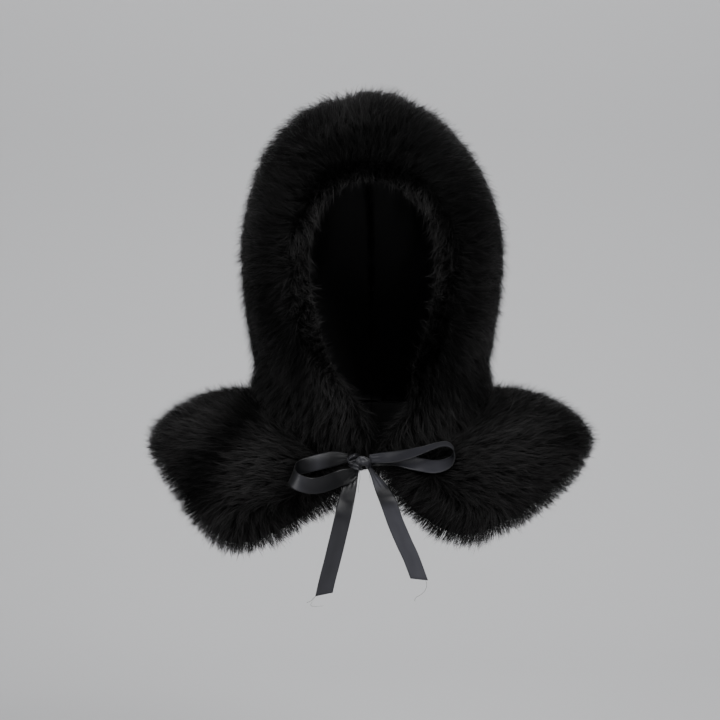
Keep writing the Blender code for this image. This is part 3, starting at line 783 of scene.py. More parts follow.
def curves(points, normals, flat, length, up):
    """Rows of each hair: it starts in the underfur, rises over its point and bends to its tip."""
    root = points - normals * HAIR_ROOT - flat * (length * 0.40)[:, None]
    tip = points + flat * (length * 0.62)[:, None] + normals * up[:, None]
    bend = points - flat * (length * 0.05)[:, None]
    bend += normals * (0.6 * MM + 0.35 * np.clip(up, -2.0 * MM, None))[:, None]
    t = HAIR_AT[None, :, None]
    early = root[:, None] * (1.0 - t) ** 2 + bend[:, None] * 2.0 * t * (1.0 - t)
    return early + tip[:, None] * t ** 2


def kept_close(name, paths, most):
    """Hair drawn in to its own panel, laid over the next one and under the ribbon."""
    paths[:, 2] = drawn_in(trees[name], paths[:, 2], most * 0.5)
    paths[:, 3] = drawn_in(trees[name], paths[:, 3], most)
    if name.startswith("hood"):
        low = np.nonzero(paths[:, 3, 2] < 0.045)[0]
        cape = trees[name.replace("hood", "cape")]
        for row, clear in ((2, 0.5 * MM), (3, 2.0 * MM)):
            paths[low, row] = laid_over(cape, paths[low, row], clear)
    return laid_under_ribbon(paths)


def stray_hairs(paths):
    """Which hairs were pulled out of shape, or hang into the gap under the knot."""
    step = np.linalg.norm(np.diff(paths, axis=1), axis=2).max(axis=1)
    tip = paths[:, 3]
    in_gap = (tip[:, 0] > GAP_SIDES[0]) & (tip[:, 0] < GAP_SIDES[1])
    gap_top = np.where(tip[:, 1] < 0.0, GAP_TOP, BACK_GAP_TOP)
    return (step > LONGEST_STEP) | (in_gap & (tip[:, 2] < gap_top))


for x, z in LOW_CORNERS:
    print(f"pile hangs {CORNER_DROP / MM:.0f} mm lower at x {x / MM:.0f} and z {z / MM:.0f} mm")

# %% Comb the hair of a panel
LOCK_LEAN, HAIR_LEAN = 0.16, 0.13  # how far a lock and a hair in it lean off the lie
LOCK_PULL = (0.25, 0.90)           # how far the hair of a lock gathers to its middle
LOCK_REACH = (0.78, 1.15)
LOCK_LIFT = 1.2 * MM
GATHER_MOST = 7.0 * MM
HAIR_CURL = 1.1 * MM
WILD_SHARE, WILD_REACH = 0.20, 1.15    # hairs that stand out of their lock
SHORT_SHARE, SHORT_REACH = 0.35, 0.6   # hairs that have not grown out
STAND_MOST = 13.0 * MM
# How far a whole lock stands off the form, and a hair off its lock
LOCK_STAND = {"hood": (0.2 * MM, 2.6 * MM), "cape": (0.5 * MM, 4.5 * MM)}
HAIR_STAND = {"hood": 1.3 * MM, "cape": 2.4 * MM}
# How far a hair's own tone spreads at random; its few light hairs are also painted glints
TONE_AND_GLINT_SPREAD = {"hood": 0.38, "cape": 0.32}


def combed(name, count):
    """Middle points, width directions and tones of the hairs of a panel."""
    kind = name.split("_")[0]
    points, normals, edge = scatter(panels[name], count)
    locks = lock_counts[name]
    centres, _, _ = scatter(panels[name], locks)
    lock = nearest_lock(points, centres)
    lean = rng.normal(size=(locks, 3)) * LOCK_LEAN
    pull = rng.uniform(*LOCK_PULL, locks)
    reach = rng.uniform(*LOCK_REACH, locks)
    stand = rng.uniform(*LOCK_STAND[kind], locks)
    lift = rng.normal(0.0, LOCK_LIFT, locks) + 2.0 * MM * waves(centres, 52, 120.0)

    # the way each hair lies, its length, and how far its tip stands off the pile's surface
    wish = lie_of_pile(name, points, normals) + lean[lock]
    wish = unit(wish + rng.normal(size=(count, 3)) * HAIR_LEAN)
    rise = np.sum(wish * normals, axis=1)
    flat = wish - rise[:, None] * normals
    length = rng.uniform(*HAIR_REACH, count) * reach[lock]
    wild = rng.random(count) < WILD_SHARE
    short = rng.random(count) < SHORT_SHARE
    length *= np.where(wild, WILD_REACH, 1.0) * np.where(short, SHORT_REACH, 1.0)
    up = np.clip(rise, -0.15, 1.0) * length * 0.30 + lift[lock] + rng.normal(0.0, 1.4 * MM, count)
    far_up = rng.uniform(2.0, 12.0, count) * MM
    up = np.where(wild, up + far_up, up + rng.exponential(0.9 * MM, count))
    up += 2.0 * MM * short
    up = np.clip(up, -6.0 * MM, 12.0 * MM)

    # over the hem and at the low corners it stands out as a fringe
    fringe = (rng.uniform(0.0, 5.0, locks)[lock] + rng.exponential(2.0, count)) * MM
    hangs = hanging(points)
    fringe += 5.0 * MM * hangs
    up = up + (fringe - up) * edge
    length = length * (1.0 - 0.6 * edge)
    paths = curves(points, normals, flat, length, up)

    # the hair of a lock gathers, and each hair has a slight curl of its own
    t = HAIR_AT[None, :, None]
    gather = (centres[lock] - points) * pull[lock][:, None]
    gather -= np.sum(gather * normals, axis=1)[:, None] * normals
    far = np.maximum(np.linalg.norm(gather, axis=1), 1e-6)
    gather *= np.minimum(1.0, GATHER_MOST / far)[:, None]
    paths += gather[:, None] * t ** 1.6
    if kind == "hood":
        # high on the hood the pile is pressed flat
        high = ease((points[:, 2] - 0.16) / 0.07)
        sunk = np.where(points[:, 0] < 0.0, 6.0 * MM, 2.0 * MM) * high
        sunk = sunk * ease(np.abs(points[:, 0]) / 0.03)
        paths -= normals[:, None] * sunk[:, None, None] * (0.4 + 0.6 * t)
    paths[:, :, 2] -= (CORNER_DROP * hangs)[:, None] * HAIR_AT
    curl = rng.normal(size=(count, 3)) * HAIR_CURL
    paths += curl[:, None] * (t * (1.0 - t) * 4.0)

    # no tip may stand further off the panel than this
    most = stand[lock] + rng.exponential(HAIR_STAND[kind], count) + 2.0 * MM * edge
    most += rng.uniform(1.0 * MM, 9.0 * MM, count) * wild
    most = np.minimum(most + 7.0 * MM * hangs, STAND_MOST)
    if kind == "hood":
        most += 9.0 * MM * ease((0.03 - points[:, 2]) / 0.03)
    paths = kept_close(name, paths, most)
    stray = stray_hairs(paths)
    print(f"{name}: {np.sum(stray)} stray hairs left out")

    way = unit(paths[:, -1] - paths[:, 0])
    side = unit(np.cross(way, normals) + 1e-6)
    turn = rng.uniform(-1.0, 1.0, count)[:, None]
    sides = unit(side * np.cos(turn) + np.cross(way, side) * np.sin(turn))
    kept, added = painted_light_round_opening(name, points)
    # each hair's own tone at random, whose few light hairs are painted glints on single hairs
    own = np.abs(rng.normal(0.0, TONE_AND_GLINT_SPREAD[kind], count))
    tones = np.clip(tone_and_painted_light_of_pile(name, points) + added + own - 0.13, 0.0, 1.0) * kept
    return paths[~stray], sides[~stray], tones[~stray]


for kind, (least, most) in LOCK_STAND.items():
    print(f"{kind}: locks stand {least / MM:.1f} to {most / MM:.1f} mm off the panel")

# %% Grow the fur
HAIRS = {"hood": (54000, 2), "cape": (34000, 1)}   # hairs on a panel, and pieces they are cut into


def fur(name, count, parts):
    """Hair pieces of a panel, cut into parts so that no mesh grows too large."""
    paths, sides, tones = combed(name, count)
    count = len(paths)
    widths = HAIR_WIDTH * rng.uniform(0.6, 1.3, count)[:, None] * HAIR_TAPER[None, :]
    order = np.argsort(paths[:, 0, 1])
    pieces = []
    for index, chosen in enumerate(np.array_split(order, parts)):
        hairs = [rows[chosen] for rows in (paths, sides, widths, tones)]
        piece = blades(f"{name}_fur_{index + 1}", *hairs, hair_black)
        pieces.append(piece)
    print(f"{name}: {count} hairs in {parts} pieces")
    return pieces


furs = {name: fur(name, *HAIRS[name.split("_")[0]]) for name in PANELS}

for name in PANELS:
    kind, side = name.split("_")
    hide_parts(name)

# %% [markdown]
# ## The lining
#
# The hood's lining is a smooth, thin cloth sewn in at the face edge and the neck. It is cut a
# little larger than the shell, so it falls into soft, shallow creases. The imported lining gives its
# place, and each corner is moved in or out along its normal by a few soft waves that run down from
# the crown.

# %% Crease the lining
LINING_THICKNESS = 0.5 * MM
LINING_LIFT = 0.3 * MM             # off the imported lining
LINING_STRAY = 3.5 * MM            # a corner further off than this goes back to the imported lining


def seam_x(height):
    """Where the crown seam runs: the hood leans a little to the wearer's right at the crown."""
    return -0.008 * ease((height - 0.17) / 0.13)


def lining(side):
    """Softly creased copy of one lining panel."""
    name = "lining_" + side
    shape = forms[name].copy()
    panel = trees["hood_" + side]
    hidden = [f for f in shape.faces if panel.find_nearest(f.calc_center_median())[3] < 0.95 * MM]
    bmesh.ops.delete(shape, geom=hidden, context="FACES")
    bmesh.ops.subdivide_edges(shape, edges=shape.edges, cuts=2, use_grid_fill=True, smooth=0.7)
    bmesh.ops.triangulate(shape, faces=shape.faces)
    shape.normal_update()
    points = np.array([v.co for v in shape.verts])
    long_waves = waves(points * np.array((1.0, 1.0, 0.28)), 41, 95.0)
    fine_waves = waves(points * np.array((1.0, 1.0, 0.45)), 43, 240.0)
    from_seam = np.abs(points[:, 0] - seam_x(points[:, 2]))
    edge = ease((points[:, 2] + 0.02) / 0.05) * ease(from_seam / 0.010)
    depth = edge * (1.4 * MM * long_waves + 0.5 * MM * fine_waves)
    depth += 0.5 * MM * (1.0 - ease(from_seam / 0.008))
    for vert, amount in zip(shape.verts, depth):
        vert.co = vert.co + vert.normal * (float(amount) + LINING_LIFT)
    bmesh.ops.solidify(shape, geom=shape.faces, thickness=LINING_THICKNESS)
    for vert in shape.verts:
        place, normal, _, off = trees[name].find_nearest(vert.co)
        if off > LINING_STRAY:
            vert.co = place + normal * LINING_LIFT
    item = add_object("hood_" + name, shape, lining_material)
    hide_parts(name)


for side in ("left", "right"):
    lining(side)

# %% [markdown]
# ## The satin ribbon
#
# A ribbon keeps its width and bends only across its face, so it is a strip laid along a route.
# Each row of a table gives the middle of the strip and half of its width. The strip starts as a
# flat grid, and each corner is moved to its place on a smooth curve through the rows. Near the
# knot the strip gathers, which shows as small pleats.

# %% Routes of the bow
# x, y, z of the middle, and x, y, z of half the width
LOOP_RIGHT = (
    (-0.0213, -0.1002, -0.0273, -0.0003, 0.0015, 0.0037),
    (-0.0279, -0.1006, -0.0274, -0.0004, 0.0013, 0.0058),
    (-0.0361, -0.1009, -0.0284, -0.0006, 0.0007, 0.0071),
    (-0.0444, -0.1024, -0.0302, -0.0008, 0.0005, 0.0072),
    (-0.0522, -0.1044, -0.0321, -0.0005, 0.0003, 0.0072),
    (-0.0594, -0.1067, -0.0340, 0.0002, 0.0002, 0.0072),
    (-0.0654, -0.1101, -0.0360, 0.0013, 0.0000, 0.0071),
    (-0.0695, -0.1150, -0.0388, 0.0021, 0.0000, 0.0069),
    (-0.0711, -0.1207, -0.0417, 0.0028, 0.0000, 0.0067),
    (-0.0700, -0.1260, -0.0446, 0.0029, 0.0000, 0.0066),
    (-0.0669, -0.1293, -0.0473, 0.0022, 0.0000, 0.0069),
    (-0.0615, -0.1303, -0.0495, 0.0013, 0.0000, 0.0071),
    (-0.0540, -0.1291, -0.0511, 0.0003, -0.0006, 0.0072),
    (-0.0450, -0.1236, -0.0503, -0.0007, -0.0012, 0.0072),
    (-0.0368, -0.1178, -0.0479, -0.0015, -0.0014, 0.0071),
    (-0.0301, -0.1132, -0.0455, -0.0022, -0.0014, 0.0069),
    (-0.0240, -0.1108, -0.0437, -0.0024, -0.0012, 0.0068),
    (-0.0192, -0.1088, -0.0424, -0.0022, -0.0010, 0.0059),
    (-0.0155, -0.1062, -0.0402, -0.0018, -0.0008, 0.0044),
)
LOOP_LEFT = (
    (-0.0030, -0.1022, -0.0280, 0.0001, 0.0016, 0.0034),
    (0.0057, -0.1075, -0.0274, 0.0001, 0.0032, 0.0044),
    (0.0141, -0.1110, -0.0268, 0.0002, 0.0047, 0.0047),
    (0.0224, -0.1128, -0.0259, 0.0003, 0.0056, 0.0046),
    (0.0308, -0.1133, -0.0243, 0.0004, 0.0059, 0.0043),
    (0.0388, -0.1115, -0.0222, 0.0005, 0.0062, 0.0038),
    (0.0463, -0.1098, -0.0200, 0.0005, 0.0066, 0.0030),
    (0.0534, -0.1075, -0.0176, 0.0004, 0.0068, 0.0025),
    (0.0602, -0.1040, -0.0158, 0.0003, 0.0069, 0.0021),
    (0.0664, -0.1003, -0.0155, 0.0002, 0.0069, 0.0020),
    (0.0715, -0.0988, -0.0186, -0.0005, 0.0068, 0.0024),
    (0.0728, -0.1005, -0.0241, -0.0003, 0.0063, 0.0035),
    (0.0697, -0.1041, -0.0302, 0.0000, 0.0057, 0.0045),
    (0.0625, -0.1041, -0.0338, 0.0000, 0.0050, 0.0052),
    (0.0540, -0.1026, -0.0348, -0.0001, 0.0043, 0.0058),
    (0.0453, -0.1011, -0.0336, -0.0004, 0.0038, 0.0061),
    (0.0370, -0.1006, -0.0320, -0.0005, 0.0041, 0.0061),
    (0.0290, -0.1015, -0.0305, -0.0003, 0.0045, 0.0055),
    (0.0215, -0.1021, -0.0293, -0.0002, 0.0047, 0.0045),
    (0.0138, -0.1014, -0.0291, 0.0000, 0.0040, 0.0043),
    (0.0058, -0.0999, -0.0297, 0.0000, 0.0028, 0.0040),
    (-0.0030, -0.0971, -0.0305, 0.0000, 0.0015, 0.0033),
)
TAIL_RIGHT = (
    (-0.0140, -0.1030, -0.0365, 0.0018, 0.0010, 0.0004),
    (-0.0165, -0.1038, -0.0440, 0.0034, 0.0010, 0.0000),
    (-0.0194, -0.1062, -0.0512, 0.0056, 0.0009, -0.0006),
    (-0.0217, -0.1110, -0.0588, 0.0067, 0.0005, -0.0008),
    (-0.0238, -0.1160, -0.0675, 0.0072, 0.0001, -0.0009),
    (-0.0261, -0.1188, -0.0785, 0.0072, 0.0000, -0.0011),
    (-0.0291, -0.1180, -0.0914, 0.0071, 0.0000, -0.0014),
    (-0.0326, -0.1170, -0.1060, 0.0071, -0.0002, -0.0016),
    (-0.0362, -0.1160, -0.1205, 0.0070, -0.0005, -0.0017),
    (-0.0397, -0.1151, -0.1339, 0.0070, -0.0008, -0.0017),
    (-0.0430, -0.1140, -0.1482, 0.0070, -0.0010, -0.0017),
)
TAIL_LEFT = (
    (-0.0034, -0.1016, -0.0345, 0.0014, 0.0014, 0.0012),
    (0.0008, -0.1046, -0.0425, 0.0022, 0.0020, 0.0012),
    (0.0054, -0.1092, -0.0496, 0.0042, 0.0024, 0.0022),
    (0.0093, -0.1143, -0.0560, 0.0058, 0.0019, 0.0026),
    (0.0130, -0.1184, -0.0635, 0.0066, 0.0011, 0.0025),
    (0.0165, -0.1189, -0.0727, 0.0068, 0.0005, 0.0025),
    (0.0200, -0.1185, -0.0828, 0.0067, 0.0000, 0.0027),
    (0.0244, -0.1179, -0.0935, 0.0066, -0.0003, 0.0031),
    (0.0292, -0.1170, -0.1045, 0.0065, -0.0007, 0.0032),
    (0.0344, -0.1161, -0.1157, 0.0066, -0.0010, 0.0029),
    (0.0415, -0.1150, -0.1348, 0.0068, -0.0013, 0.0021),
)
# Painted light and shade along each piece, for how the satin is turned to the lights: share of
# the way, tone
PAINTED_LIGHT_LOOP_RIGHT = (
    (0.0, 0.3), (0.12, 0.4), (0.20, 1.8), (0.27, 0.4), (0.40, 0.1), (0.50, 0.3), (0.58, 1.8),
    (0.66, 0.7), (0.80, 0.3), (1.0, 0.2),
)
PAINTED_LIGHT_LOOP_LEFT = (
    (0.0, 2.4), (0.12, 1.6), (0.25, 2.2), (0.42, 2.2), (0.55, 1.0), (0.64, 2.8), (0.82, 2.6),
    (0.90, 0.8), (1.0, 0.6),
)
PAINTED_LIGHT_TAIL_RIGHT = ((0.0, 1.2), (0.10, 1.2), (0.20, 0.5), (0.40, 0.7), (0.60, 1.6), (1.0, 1.9))
PAINTED_LIGHT_TAIL_LEFT = (
    (0.0, 1.5), (0.12, 3.2), (0.20, 3.0), (0.30, 0.5), (0.40, 0.7), (0.50, 3.0), (1.0, 3.4),
)
PAINTED_LIGHT_KNOT = ((0.0, 1.2), (0.5, 2.0), (1.0, 1.0))
RIBBON_THICKNESS = 0.45 * MM
FULL_HALF = 7.0 * MM               # half width of the ribbon where it lies flat
ACROSS = 12                        # faces across the ribbon
STEPS = 5                          # faces from one table row to the next
PLEAT = 1.1 * MM                   # height of a pleat where the ribbon is fully gathered
CUT_STRETCH = 0.1                  # the slanting cut takes up this share at the end of a tail
print("rows in the loops' routes:", len(LOOP_RIGHT), len(LOOP_LEFT))


# %% [markdown]
# ## Satin
#
# Satin's long floating threads give it a gleam along its length and fine lines in it. Both are
# noise on the ribbon's own map, stretched a lot along the ribbon; the gleam is painted sheen in
# the colour. How light a stretch looks depends on how it is turned to the lights, and a number
# kept on each corner paints that light and shade, because a map alone can't.

# %% Satin material
def satin_group():
    """Satin: lengthwise gleam as painted sheen, fine warp lines and a firm edge, from the ribbon's
    own map.
    """
    group, given, leave = new_group("Satin", (), ("Warp", "Gleam", "Edge"))
    vector = given["Vector"]
    for name, scale, detail in (("Warp", (55.0, 2.5, 1.0), 3.0), ("Gleam", (1.6, 0.55, 1.0), 2.0)):
        stretch = add_node(
            group, "ShaderNodeVectorMath", {1: scale}, {0: vector}, operation="MULTIPLY"
        )
        fine = {"Scale": 1.0, "Detail": detail}
        lines = add_node(group, "ShaderNodeTexNoise", fine, {"Vector": stretch.outputs[0]})
        feed(group, leave, {name: lines.outputs["Fac"]})
    across = add_node(group, "ShaderNodeSeparateXYZ", None, {0: vector}).outputs["X"]
    middle = add_node(group, "ShaderNodeMath", {1: 0.5}, {0: across}, operation="SUBTRACT")
    off = add_node(group, "ShaderNodeMath", None, {0: middle.outputs[0]}, operation="ABSOLUTE")
    ends = {"From Min": 0.455, "From Max": 0.475}
    edge = add_node(group, "ShaderNodeMapRange", ends, {"Value": off.outputs[0]})
    feed(group, leave, {"Edge": edge.outputs["Result"]})
    return group


def satin_material():
    """Charcoal satin with a darker woven edge."""
    dark, light, edge = (0.0075, 0.0075, 0.0090), (0.0165, 0.0165, 0.0195), (0.005, 0.005, 0.006)
    material, tree, shader = new_material("Ribbon_satin", dark, 0.30, 0.24)
    shader.inputs["Anisotropic"].default_value = 0.55
    shader.inputs["Sheen Weight"].default_value = 0.06
    shader.inputs["Sheen Roughness"].default_value = 0.35
    place = add_node(tree, "ShaderNodeUVMap", uv_map="Ribbon").outputs["UV"]
    satin = add_node(
        tree, "ShaderNodeGroup", None, {"Vector": place}, node_tree=satin_group()
    ).outputs
    # the gleam is painted sheen: lighter base colour in streaks along the ribbon
    sources = {"Factor": satin["Edge"], "A": mixed(tree, satin["Gleam"], dark, light)}
    edged = add_node(tree, "ShaderNodeMix", {"B": (*edge, 1.0)}, sources, data_type="RGBA")
    # painted light and shade: a number on each corner makes the satin lighter or darker for how it
    # is turned
    painted_light = add_node(tree, "ShaderNodeAttribute", attribute_name="Tone").outputs["Fac"]
    feed(tree, shader, {
        "Base Color": scaled(tree, edged.outputs["Result"], painted_light),
        "Roughness": ranged(tree, satin["Warp"], 0.24, 0.40),
        "Normal": relief(tree, satin["Warp"], 0.18, 0.10 * MM),
    })
    return material


satin_charcoal = satin_material()
print("the ribbon's material:", satin_charcoal.name)


# %% Lay the ribbon along its routes
def on_route(rows, place):
    """Middle and half width at a place along a route, on a smooth curve through its rows."""
    last = len(rows) - 1
    index = min(int(place), last - 1)
    part = place - index
    a, b, c, d = (np.array(rows[min(max(index + step, 0), last)]) for step in (-1, 0, 1, 2))
    curve = 2.0 * b + (c - a) * part
    curve += (2.0 * a - 5.0 * b + 4.0 * c - d) * part ** 2
    curve += (3.0 * b - a - 3.0 * c + d) * part ** 3
    values = 0.5 * curve
    return Vector(values[:3]), Vector(values[3:])


def strip(name, rows, tones, cut=0.0, pleats=3.0, cup=0.0):
    """Satin strip along a route, pleated where it is gathered, with a slanting end."""
    length_steps = (len(rows) - 1) * STEPS
    shape = bmesh.new()
    bmesh.ops.create_grid(shape, x_segments=ACROSS, y_segments=length_steps, size=0.5)
    layer = shape.loops.layers.uv.new("Ribbon")
    painted_light = shape.verts.layers.float.new("Tone")
    flat = {v: (v.co.x + 0.5, v.co.y + 0.5) for v in shape.verts}
    travelled = [0.0]
    for step in range(length_steps):
        here, _ = on_route(rows, step / STEPS)
        there, _ = on_route(rows, (step + 1) / STEPS)
        travelled.append(travelled[-1] + (there - here).length)
    for face in shape.faces:
        for loop in face.loops:
            across, along = flat[loop.vert]
            step = min(int(round(along * length_steps)), length_steps)
            loop[layer].uv = (across, travelled[step] / (2.0 * FULL_HALF))
    for vert, (across, along) in flat.items():
        place = along * (len(rows) - 1)
        middle, half = on_route(rows, place)
        before, _ = on_route(rows, max(place - 0.2, 0.0))
        after, _ = on_route(rows, min(place + 0.2, len(rows) - 1.0))
        way = (after - before).normalized()
        out = way.cross(half).normalized()
        gathered = 1.0 - min(half.length / FULL_HALF, 1.0)
        side = across * 2.0 - 1.0
        fold = math.sin(across * math.pi * 2.0 * pleats + 0.6) * gathered * PLEAT
        fold += cup * (side * side - 0.33) * (1.0 - gathered)
        slant = way * (side * cut * max(along - 1.0 + CUT_STRETCH, 0.0) / CUT_STRETCH)
        vert.co = middle + half * side + out * fold + slant
        # painted light and shade along the strip
        vert[painted_light] = float(np.interp(along, *zip(*tones)))
    bmesh.ops.recalc_face_normals(shape, faces=shape.faces)
    bmesh.ops.solidify(shape, geom=shape.faces, thickness=RIBBON_THICKNESS)
    item = add_object(name, shape, satin_charcoal)
    print(f"{name}: {travelled[-1] / MM:.0f} mm long")
    return item, travelled[-1]


bow = {}
for name, rows, tones, cut, cup in (
    ("bow_loop_right", LOOP_RIGHT, PAINTED_LIGHT_LOOP_RIGHT, 0.0, 0.5 * MM),
    ("bow_loop_left", LOOP_LEFT, PAINTED_LIGHT_LOOP_LEFT, 0.0, 0.4 * MM),
    ("bow_tail_right", TAIL_RIGHT, PAINTED_LIGHT_TAIL_RIGHT, -3.5 * MM, 0.5 * MM),
    ("bow_tail_left", TAIL_LEFT, PAINTED_LIGHT_TAIL_LEFT, 3.0 * MM, -0.5 * MM),
):
    bow[name] = strip(name, rows, tones, cut, cup=cup)

# %% [markdown]
# ## The knot
#
# The knot is the same ribbon, wrapped once round the crossing and pulled tight. Seen close it is
# not a neat band but a few crumpled folds. It is made of three bent strips round a small core: a
# curl at the upper left, a fold under it, and a broader roll that puffs out at the right.

# %% Wrap the knot
KNOT = Vector((-0.0115, -0.1010, -0.0302))
# x, y, z of the middle from the knot's centre, and x, y, z of half the width
KNOT_CURL = (
    (-0.0010, -0.0010, 0.0042, 0.0008, -0.0012, 0.0022),
    (-0.0040, -0.0052, 0.0050, 0.0010, -0.0012, 0.0024),
    (-0.0078, -0.0060, 0.0036, 0.0004, -0.0010, 0.0026),
    (-0.0100, -0.0044, 0.0008, -0.0008, -0.0008, 0.0022),
    (-0.0080, -0.0062, -0.0012, -0.0012, -0.0010, 0.0014),
    (-0.0044, -0.0066, 0.0004, -0.0008, -0.0012, 0.0010),
    (-0.0016, -0.0036, 0.0014, -0.0004, -0.0010, 0.0010),
)
KNOT_UNDERFOLD = (
    (-0.0084, -0.0008, -0.0020, 0.0008, -0.0004, 0.0020),
    (-0.0062, -0.0054, -0.0032, 0.0010, -0.0008, 0.0028),
    (-0.0030, -0.0068, -0.0044, 0.0008, -0.0010, 0.0030),
    (0.0000, -0.0060, -0.0054, 0.0004, -0.0008, 0.0024),
    (0.0022, -0.0024, -0.0066, 0.0000, -0.0006, 0.0018),
)
KNOT_ROLL = (
    (-0.0030, -0.0028, -0.0062, 0.0020, 0.0004, -0.0008),
    (-0.0020, -0.0064, -0.0020, 0.0026, 0.0000, -0.0014),
    (0.0010, -0.0080, 0.0004, 0.0020, -0.0006, -0.0036),
    (0.0046, -0.0070, 0.0006, 0.0004, -0.0006, -0.0040),
    (0.0078, -0.0056, -0.0020, -0.0024, 0.0002, -0.0026),
    (0.0090, -0.0014, -0.0056, -0.0020, -0.0006, -0.0010),
)


def at_knot(rows):
    """Table rows moved to the knot's place."""
    return [(KNOT.x + x, KNOT.y + y, KNOT.z + z, *half) for x, y, z, *half in rows]


for name, rows, pleats in (
    ("bow_knot_roll", KNOT_ROLL, 1.0),
    ("bow_knot_curl", KNOT_CURL, 1.5),
    ("bow_knot_underfold", KNOT_UNDERFOLD, 2.0),
):
    piece, _ = strip(name, at_knot(rows), PAINTED_LIGHT_KNOT, pleats=pleats)

# %% Fill the knot's core
CORE_HALF = (7.6 * MM, 3.4 * MM, 4.6 * MM)
# The core is painted darker: painted shade of the folds round it
CORE_PAINTED_SHADE = 0.5                    # it lies in the folds' shade
core = bmesh.new()
bmesh.ops.create_uvsphere(core, u_segments=24, v_segments=16, radius=1.0)
core_map = core.loops.layers.uv.new("Ribbon")
core_painted_shade = core.verts.layers.float.new("Tone")
for vert in core.verts:
    vert[core_painted_shade] = CORE_PAINTED_SHADE
for face in core.faces:
    for loop in face.loops:
        loop[core_map].uv = (0.5 + 0.3 * loop.vert.co.x, 0.5 + 0.3 * loop.vert.co.z)
bmesh.ops.scale(core, vec=CORE_HALF, verts=core.verts)
bmesh.ops.translate(core, vec=KNOT, verts=core.verts)
knot_core = add_object("bow_knot_core", core, satin_charcoal)

# %% Hide the imported pieces that the ribbon stands for
for name, (piece, _) in bow.items():
    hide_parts(name.replace("bow", "ribbon"))
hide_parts("ribbon_knot")

# %% [markdown]
# ## Frayed ends
#
# The tails are cut and not hemmed, so a few threads of the weave hang loose from the corners. Each
# is a single thin blade that follows a short curved path.

# %% Loose threads
# Paths as x and z of the points, at the depth of the tail that they hang from
THREADS = (
    (-0.114, ((-0.0487, -0.1485), (-0.0520, -0.1510), (-0.0548, -0.1540), (-0.0590, -0.1556))),
    (-0.114, ((-0.0500, -0.1490), (-0.0548, -0.1572), (-0.0505, -0.1588), (-0.0425, -0.1580))),
    (-0.115, ((0.0466, -0.1330), (0.0482, -0.1400), (0.0455, -0.1462), (0.0392, -0.1505))),
    (-0.115, ((0.0400, -0.1495), (0.0384, -0.1512), (0.0376, -0.1530), (0.0380, -0.1545))),
    (-0.104, ((-0.0115, -0.0390), (-0.0110, -0.0460), (-0.0124, -0.0530), (-0.0121, -0.0590))),
)
THREAD_WIDTH = 0.28 * MM
THREAD_STEPS = 3                   # from one point of its path to the next
thread_paths = []
for depth, corners in THREADS:
    rows = [(x, depth, z, 0.0, 0.0, 0.0) for x, z in corners]
    places = range((len(corners) - 1) * THREAD_STEPS + 1)
    thread_paths.append([tuple(on_route(rows, place / THREAD_STEPS)[0]) for place in places])
thread_paths = np.array(thread_paths)
thread_sides = unit(np.cross(thread_paths[:, -1] - thread_paths[:, 0], (0.0, 1.0, 0.0)))
thread_widths = np.full(thread_paths.shape[:2], THREAD_WIDTH)
thread_tones = np.full(len(THREADS), 0.5)
threads = blades(
    "bow_threads", thread_paths, thread_sides, thread_widths, thread_tones, hair_black
)
print("loose threads:", len(THREADS))

# %% [markdown]
# ## Floor, light and camera
#
# The capelet hangs as if worn, in front of a pale sweep. Black fur needs large soft lights at its
# sides, because it shows only what it reflects. The camera stands level, two and a half metres in
# front.

# %% Pale sweep
FLOOR_Z = -0.36
FLOOR_FRONT, WALL_Y, WALL_TOP = -3.0, 2.0, 3.0
BEND = 0.8                         # radius of the bend from the floor to the wall
HALF_WIDTH = 4.0
sweep = bmesh.new()
profile = [(FLOOR_FRONT, FLOOR_Z), (WALL_Y - BEND, FLOOR_Z)]
for turn in np.linspace(0.12, math.pi / 2.0, 12):
    y = WALL_Y - BEND + BEND * math.sin(turn)
    profile.append((y, FLOOR_Z + BEND - BEND * math.cos(turn)))
profile.append((WALL_Y, WALL_TOP))
edge_verts = [sweep.verts.new((-HALF_WIDTH, y, z)) for y, z in profile]
edges = [sweep.edges.new(pair) for pair in zip(edge_verts, edge_verts[1:])]
grown = bmesh.ops.extrude_edge_only(sweep, edges=edges)
moved = [v for v in grown["geom"] if isinstance(v, bmesh.types.BMVert)]
bmesh.ops.translate(sweep, vec=(2.0 * HALF_WIDTH, 0.0, 0.0), verts=moved)
bmesh.ops.recalc_face_normals(sweep, faces=sweep.faces)
bmesh.ops.reverse_faces(sweep, faces=sweep.faces)
floor_mesh = bpy.data.meshes.new("floor")
sweep.to_mesh(floor_mesh)
sweep.free()
floor_mesh.shade_smooth()
floor_material, tree, shader = new_material("Floor", (0.62, 0.62, 0.63), 0.85, 0.2)
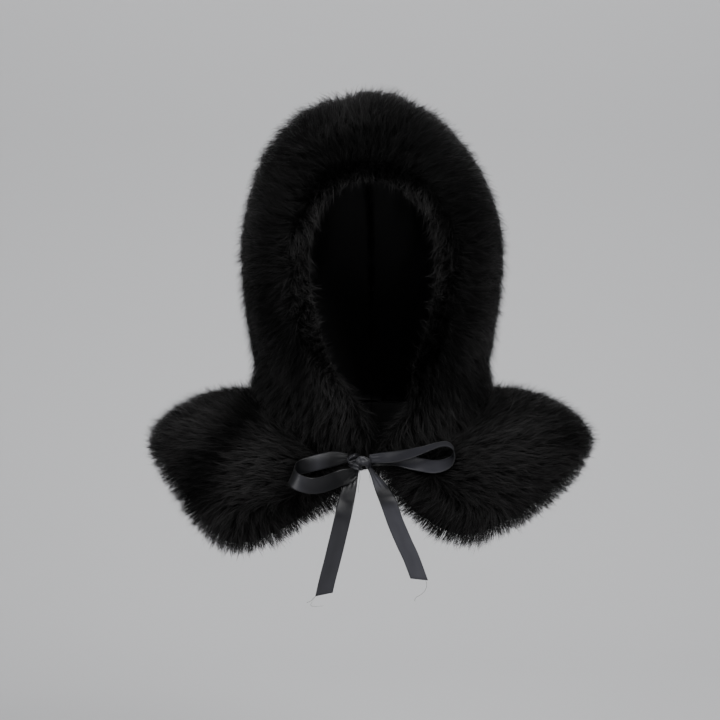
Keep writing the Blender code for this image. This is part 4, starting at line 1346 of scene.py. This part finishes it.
# its back is clear, so that a camera behind the wall sees the capelet too
behind = add_node(tree, "ShaderNodeNewGeometry").outputs["Backfacing"]
clear = add_node(tree, "ShaderNodeBsdfTransparent").outputs["BSDF"]
sources = {"Fac": behind, 1: shader.outputs["BSDF"], 2: clear}
either = add_node(tree, "ShaderNodeMixShader", None, sources).outputs["Shader"]
feed(tree, tree.nodes["Material Output"], {"Surface": either})
floor_mesh.materials.append(floor_material)
floor = bpy.data.objects.new("floor", floor_mesh)
bpy.context.scene.collection.objects.link(floor)
print("points in the sweep's profile:", len(profile))


# %% Soft lights
def soft_light(name, place, target, size, power):
    """Large area light that looks at a point."""
    light = bpy.data.lights.new(name, "AREA")
    light.shape = "RECTANGLE"
    light.size, light.size_y = size
    light.energy = power
    item = bpy.data.objects.new(name, light)
    item.location = place
    item.rotation_euler = (Vector(target) - Vector(place)).to_track_quat("-Z", "Y").to_euler()
    bpy.context.scene.collection.objects.link(item)


MIDDLE = (0.0, 0.0, 0.08)
# name, place, target, size, power
soft_light("key", (1.3, -2.0, 1.3), MIDDLE, (1.3, 1.3), 52.0)
soft_light("fill", (-1.6, -1.9, 0.6), MIDDLE, (1.3, 1.6), 30.0)
soft_light("top", (0.0, -0.6, 2.0), MIDDLE, (1.6, 1.2), 16.0)
soft_light("back", (0.0, 1.7, 1.3), MIDDLE, (1.8, 1.2), 20.0)
world = bpy.data.worlds.new("studio")
world.use_nodes = True
sky = world.node_tree.nodes["Background"].inputs
sky["Color"].default_value = (0.80, 0.82, 0.85, 1.0)
sky["Strength"].default_value = 0.30
bpy.context.scene.world = world
print("lights:", ", ".join(light.name for light in bpy.data.lights))

# %% Camera
SENSOR = 36.0                      # in mm, as a camera's lens is
DISTANCE = 2.5
FRAME_WIDTH = 0.6696               # of what the square picture shows at the neck
camera_data = bpy.data.cameras.new("camera")
camera_data.sensor_width = SENSOR
camera_data.lens = SENSOR * DISTANCE / FRAME_WIDTH
camera = bpy.data.objects.new("camera", camera_data)
camera.location = (-0.011, -DISTANCE, 0.060)
camera.rotation_euler = (math.pi / 2.0, 0.0, 0.0)
bpy.context.scene.collection.objects.link(camera)
bpy.context.scene.camera = camera
print(f"lens: {camera_data.lens:.0f} mm")
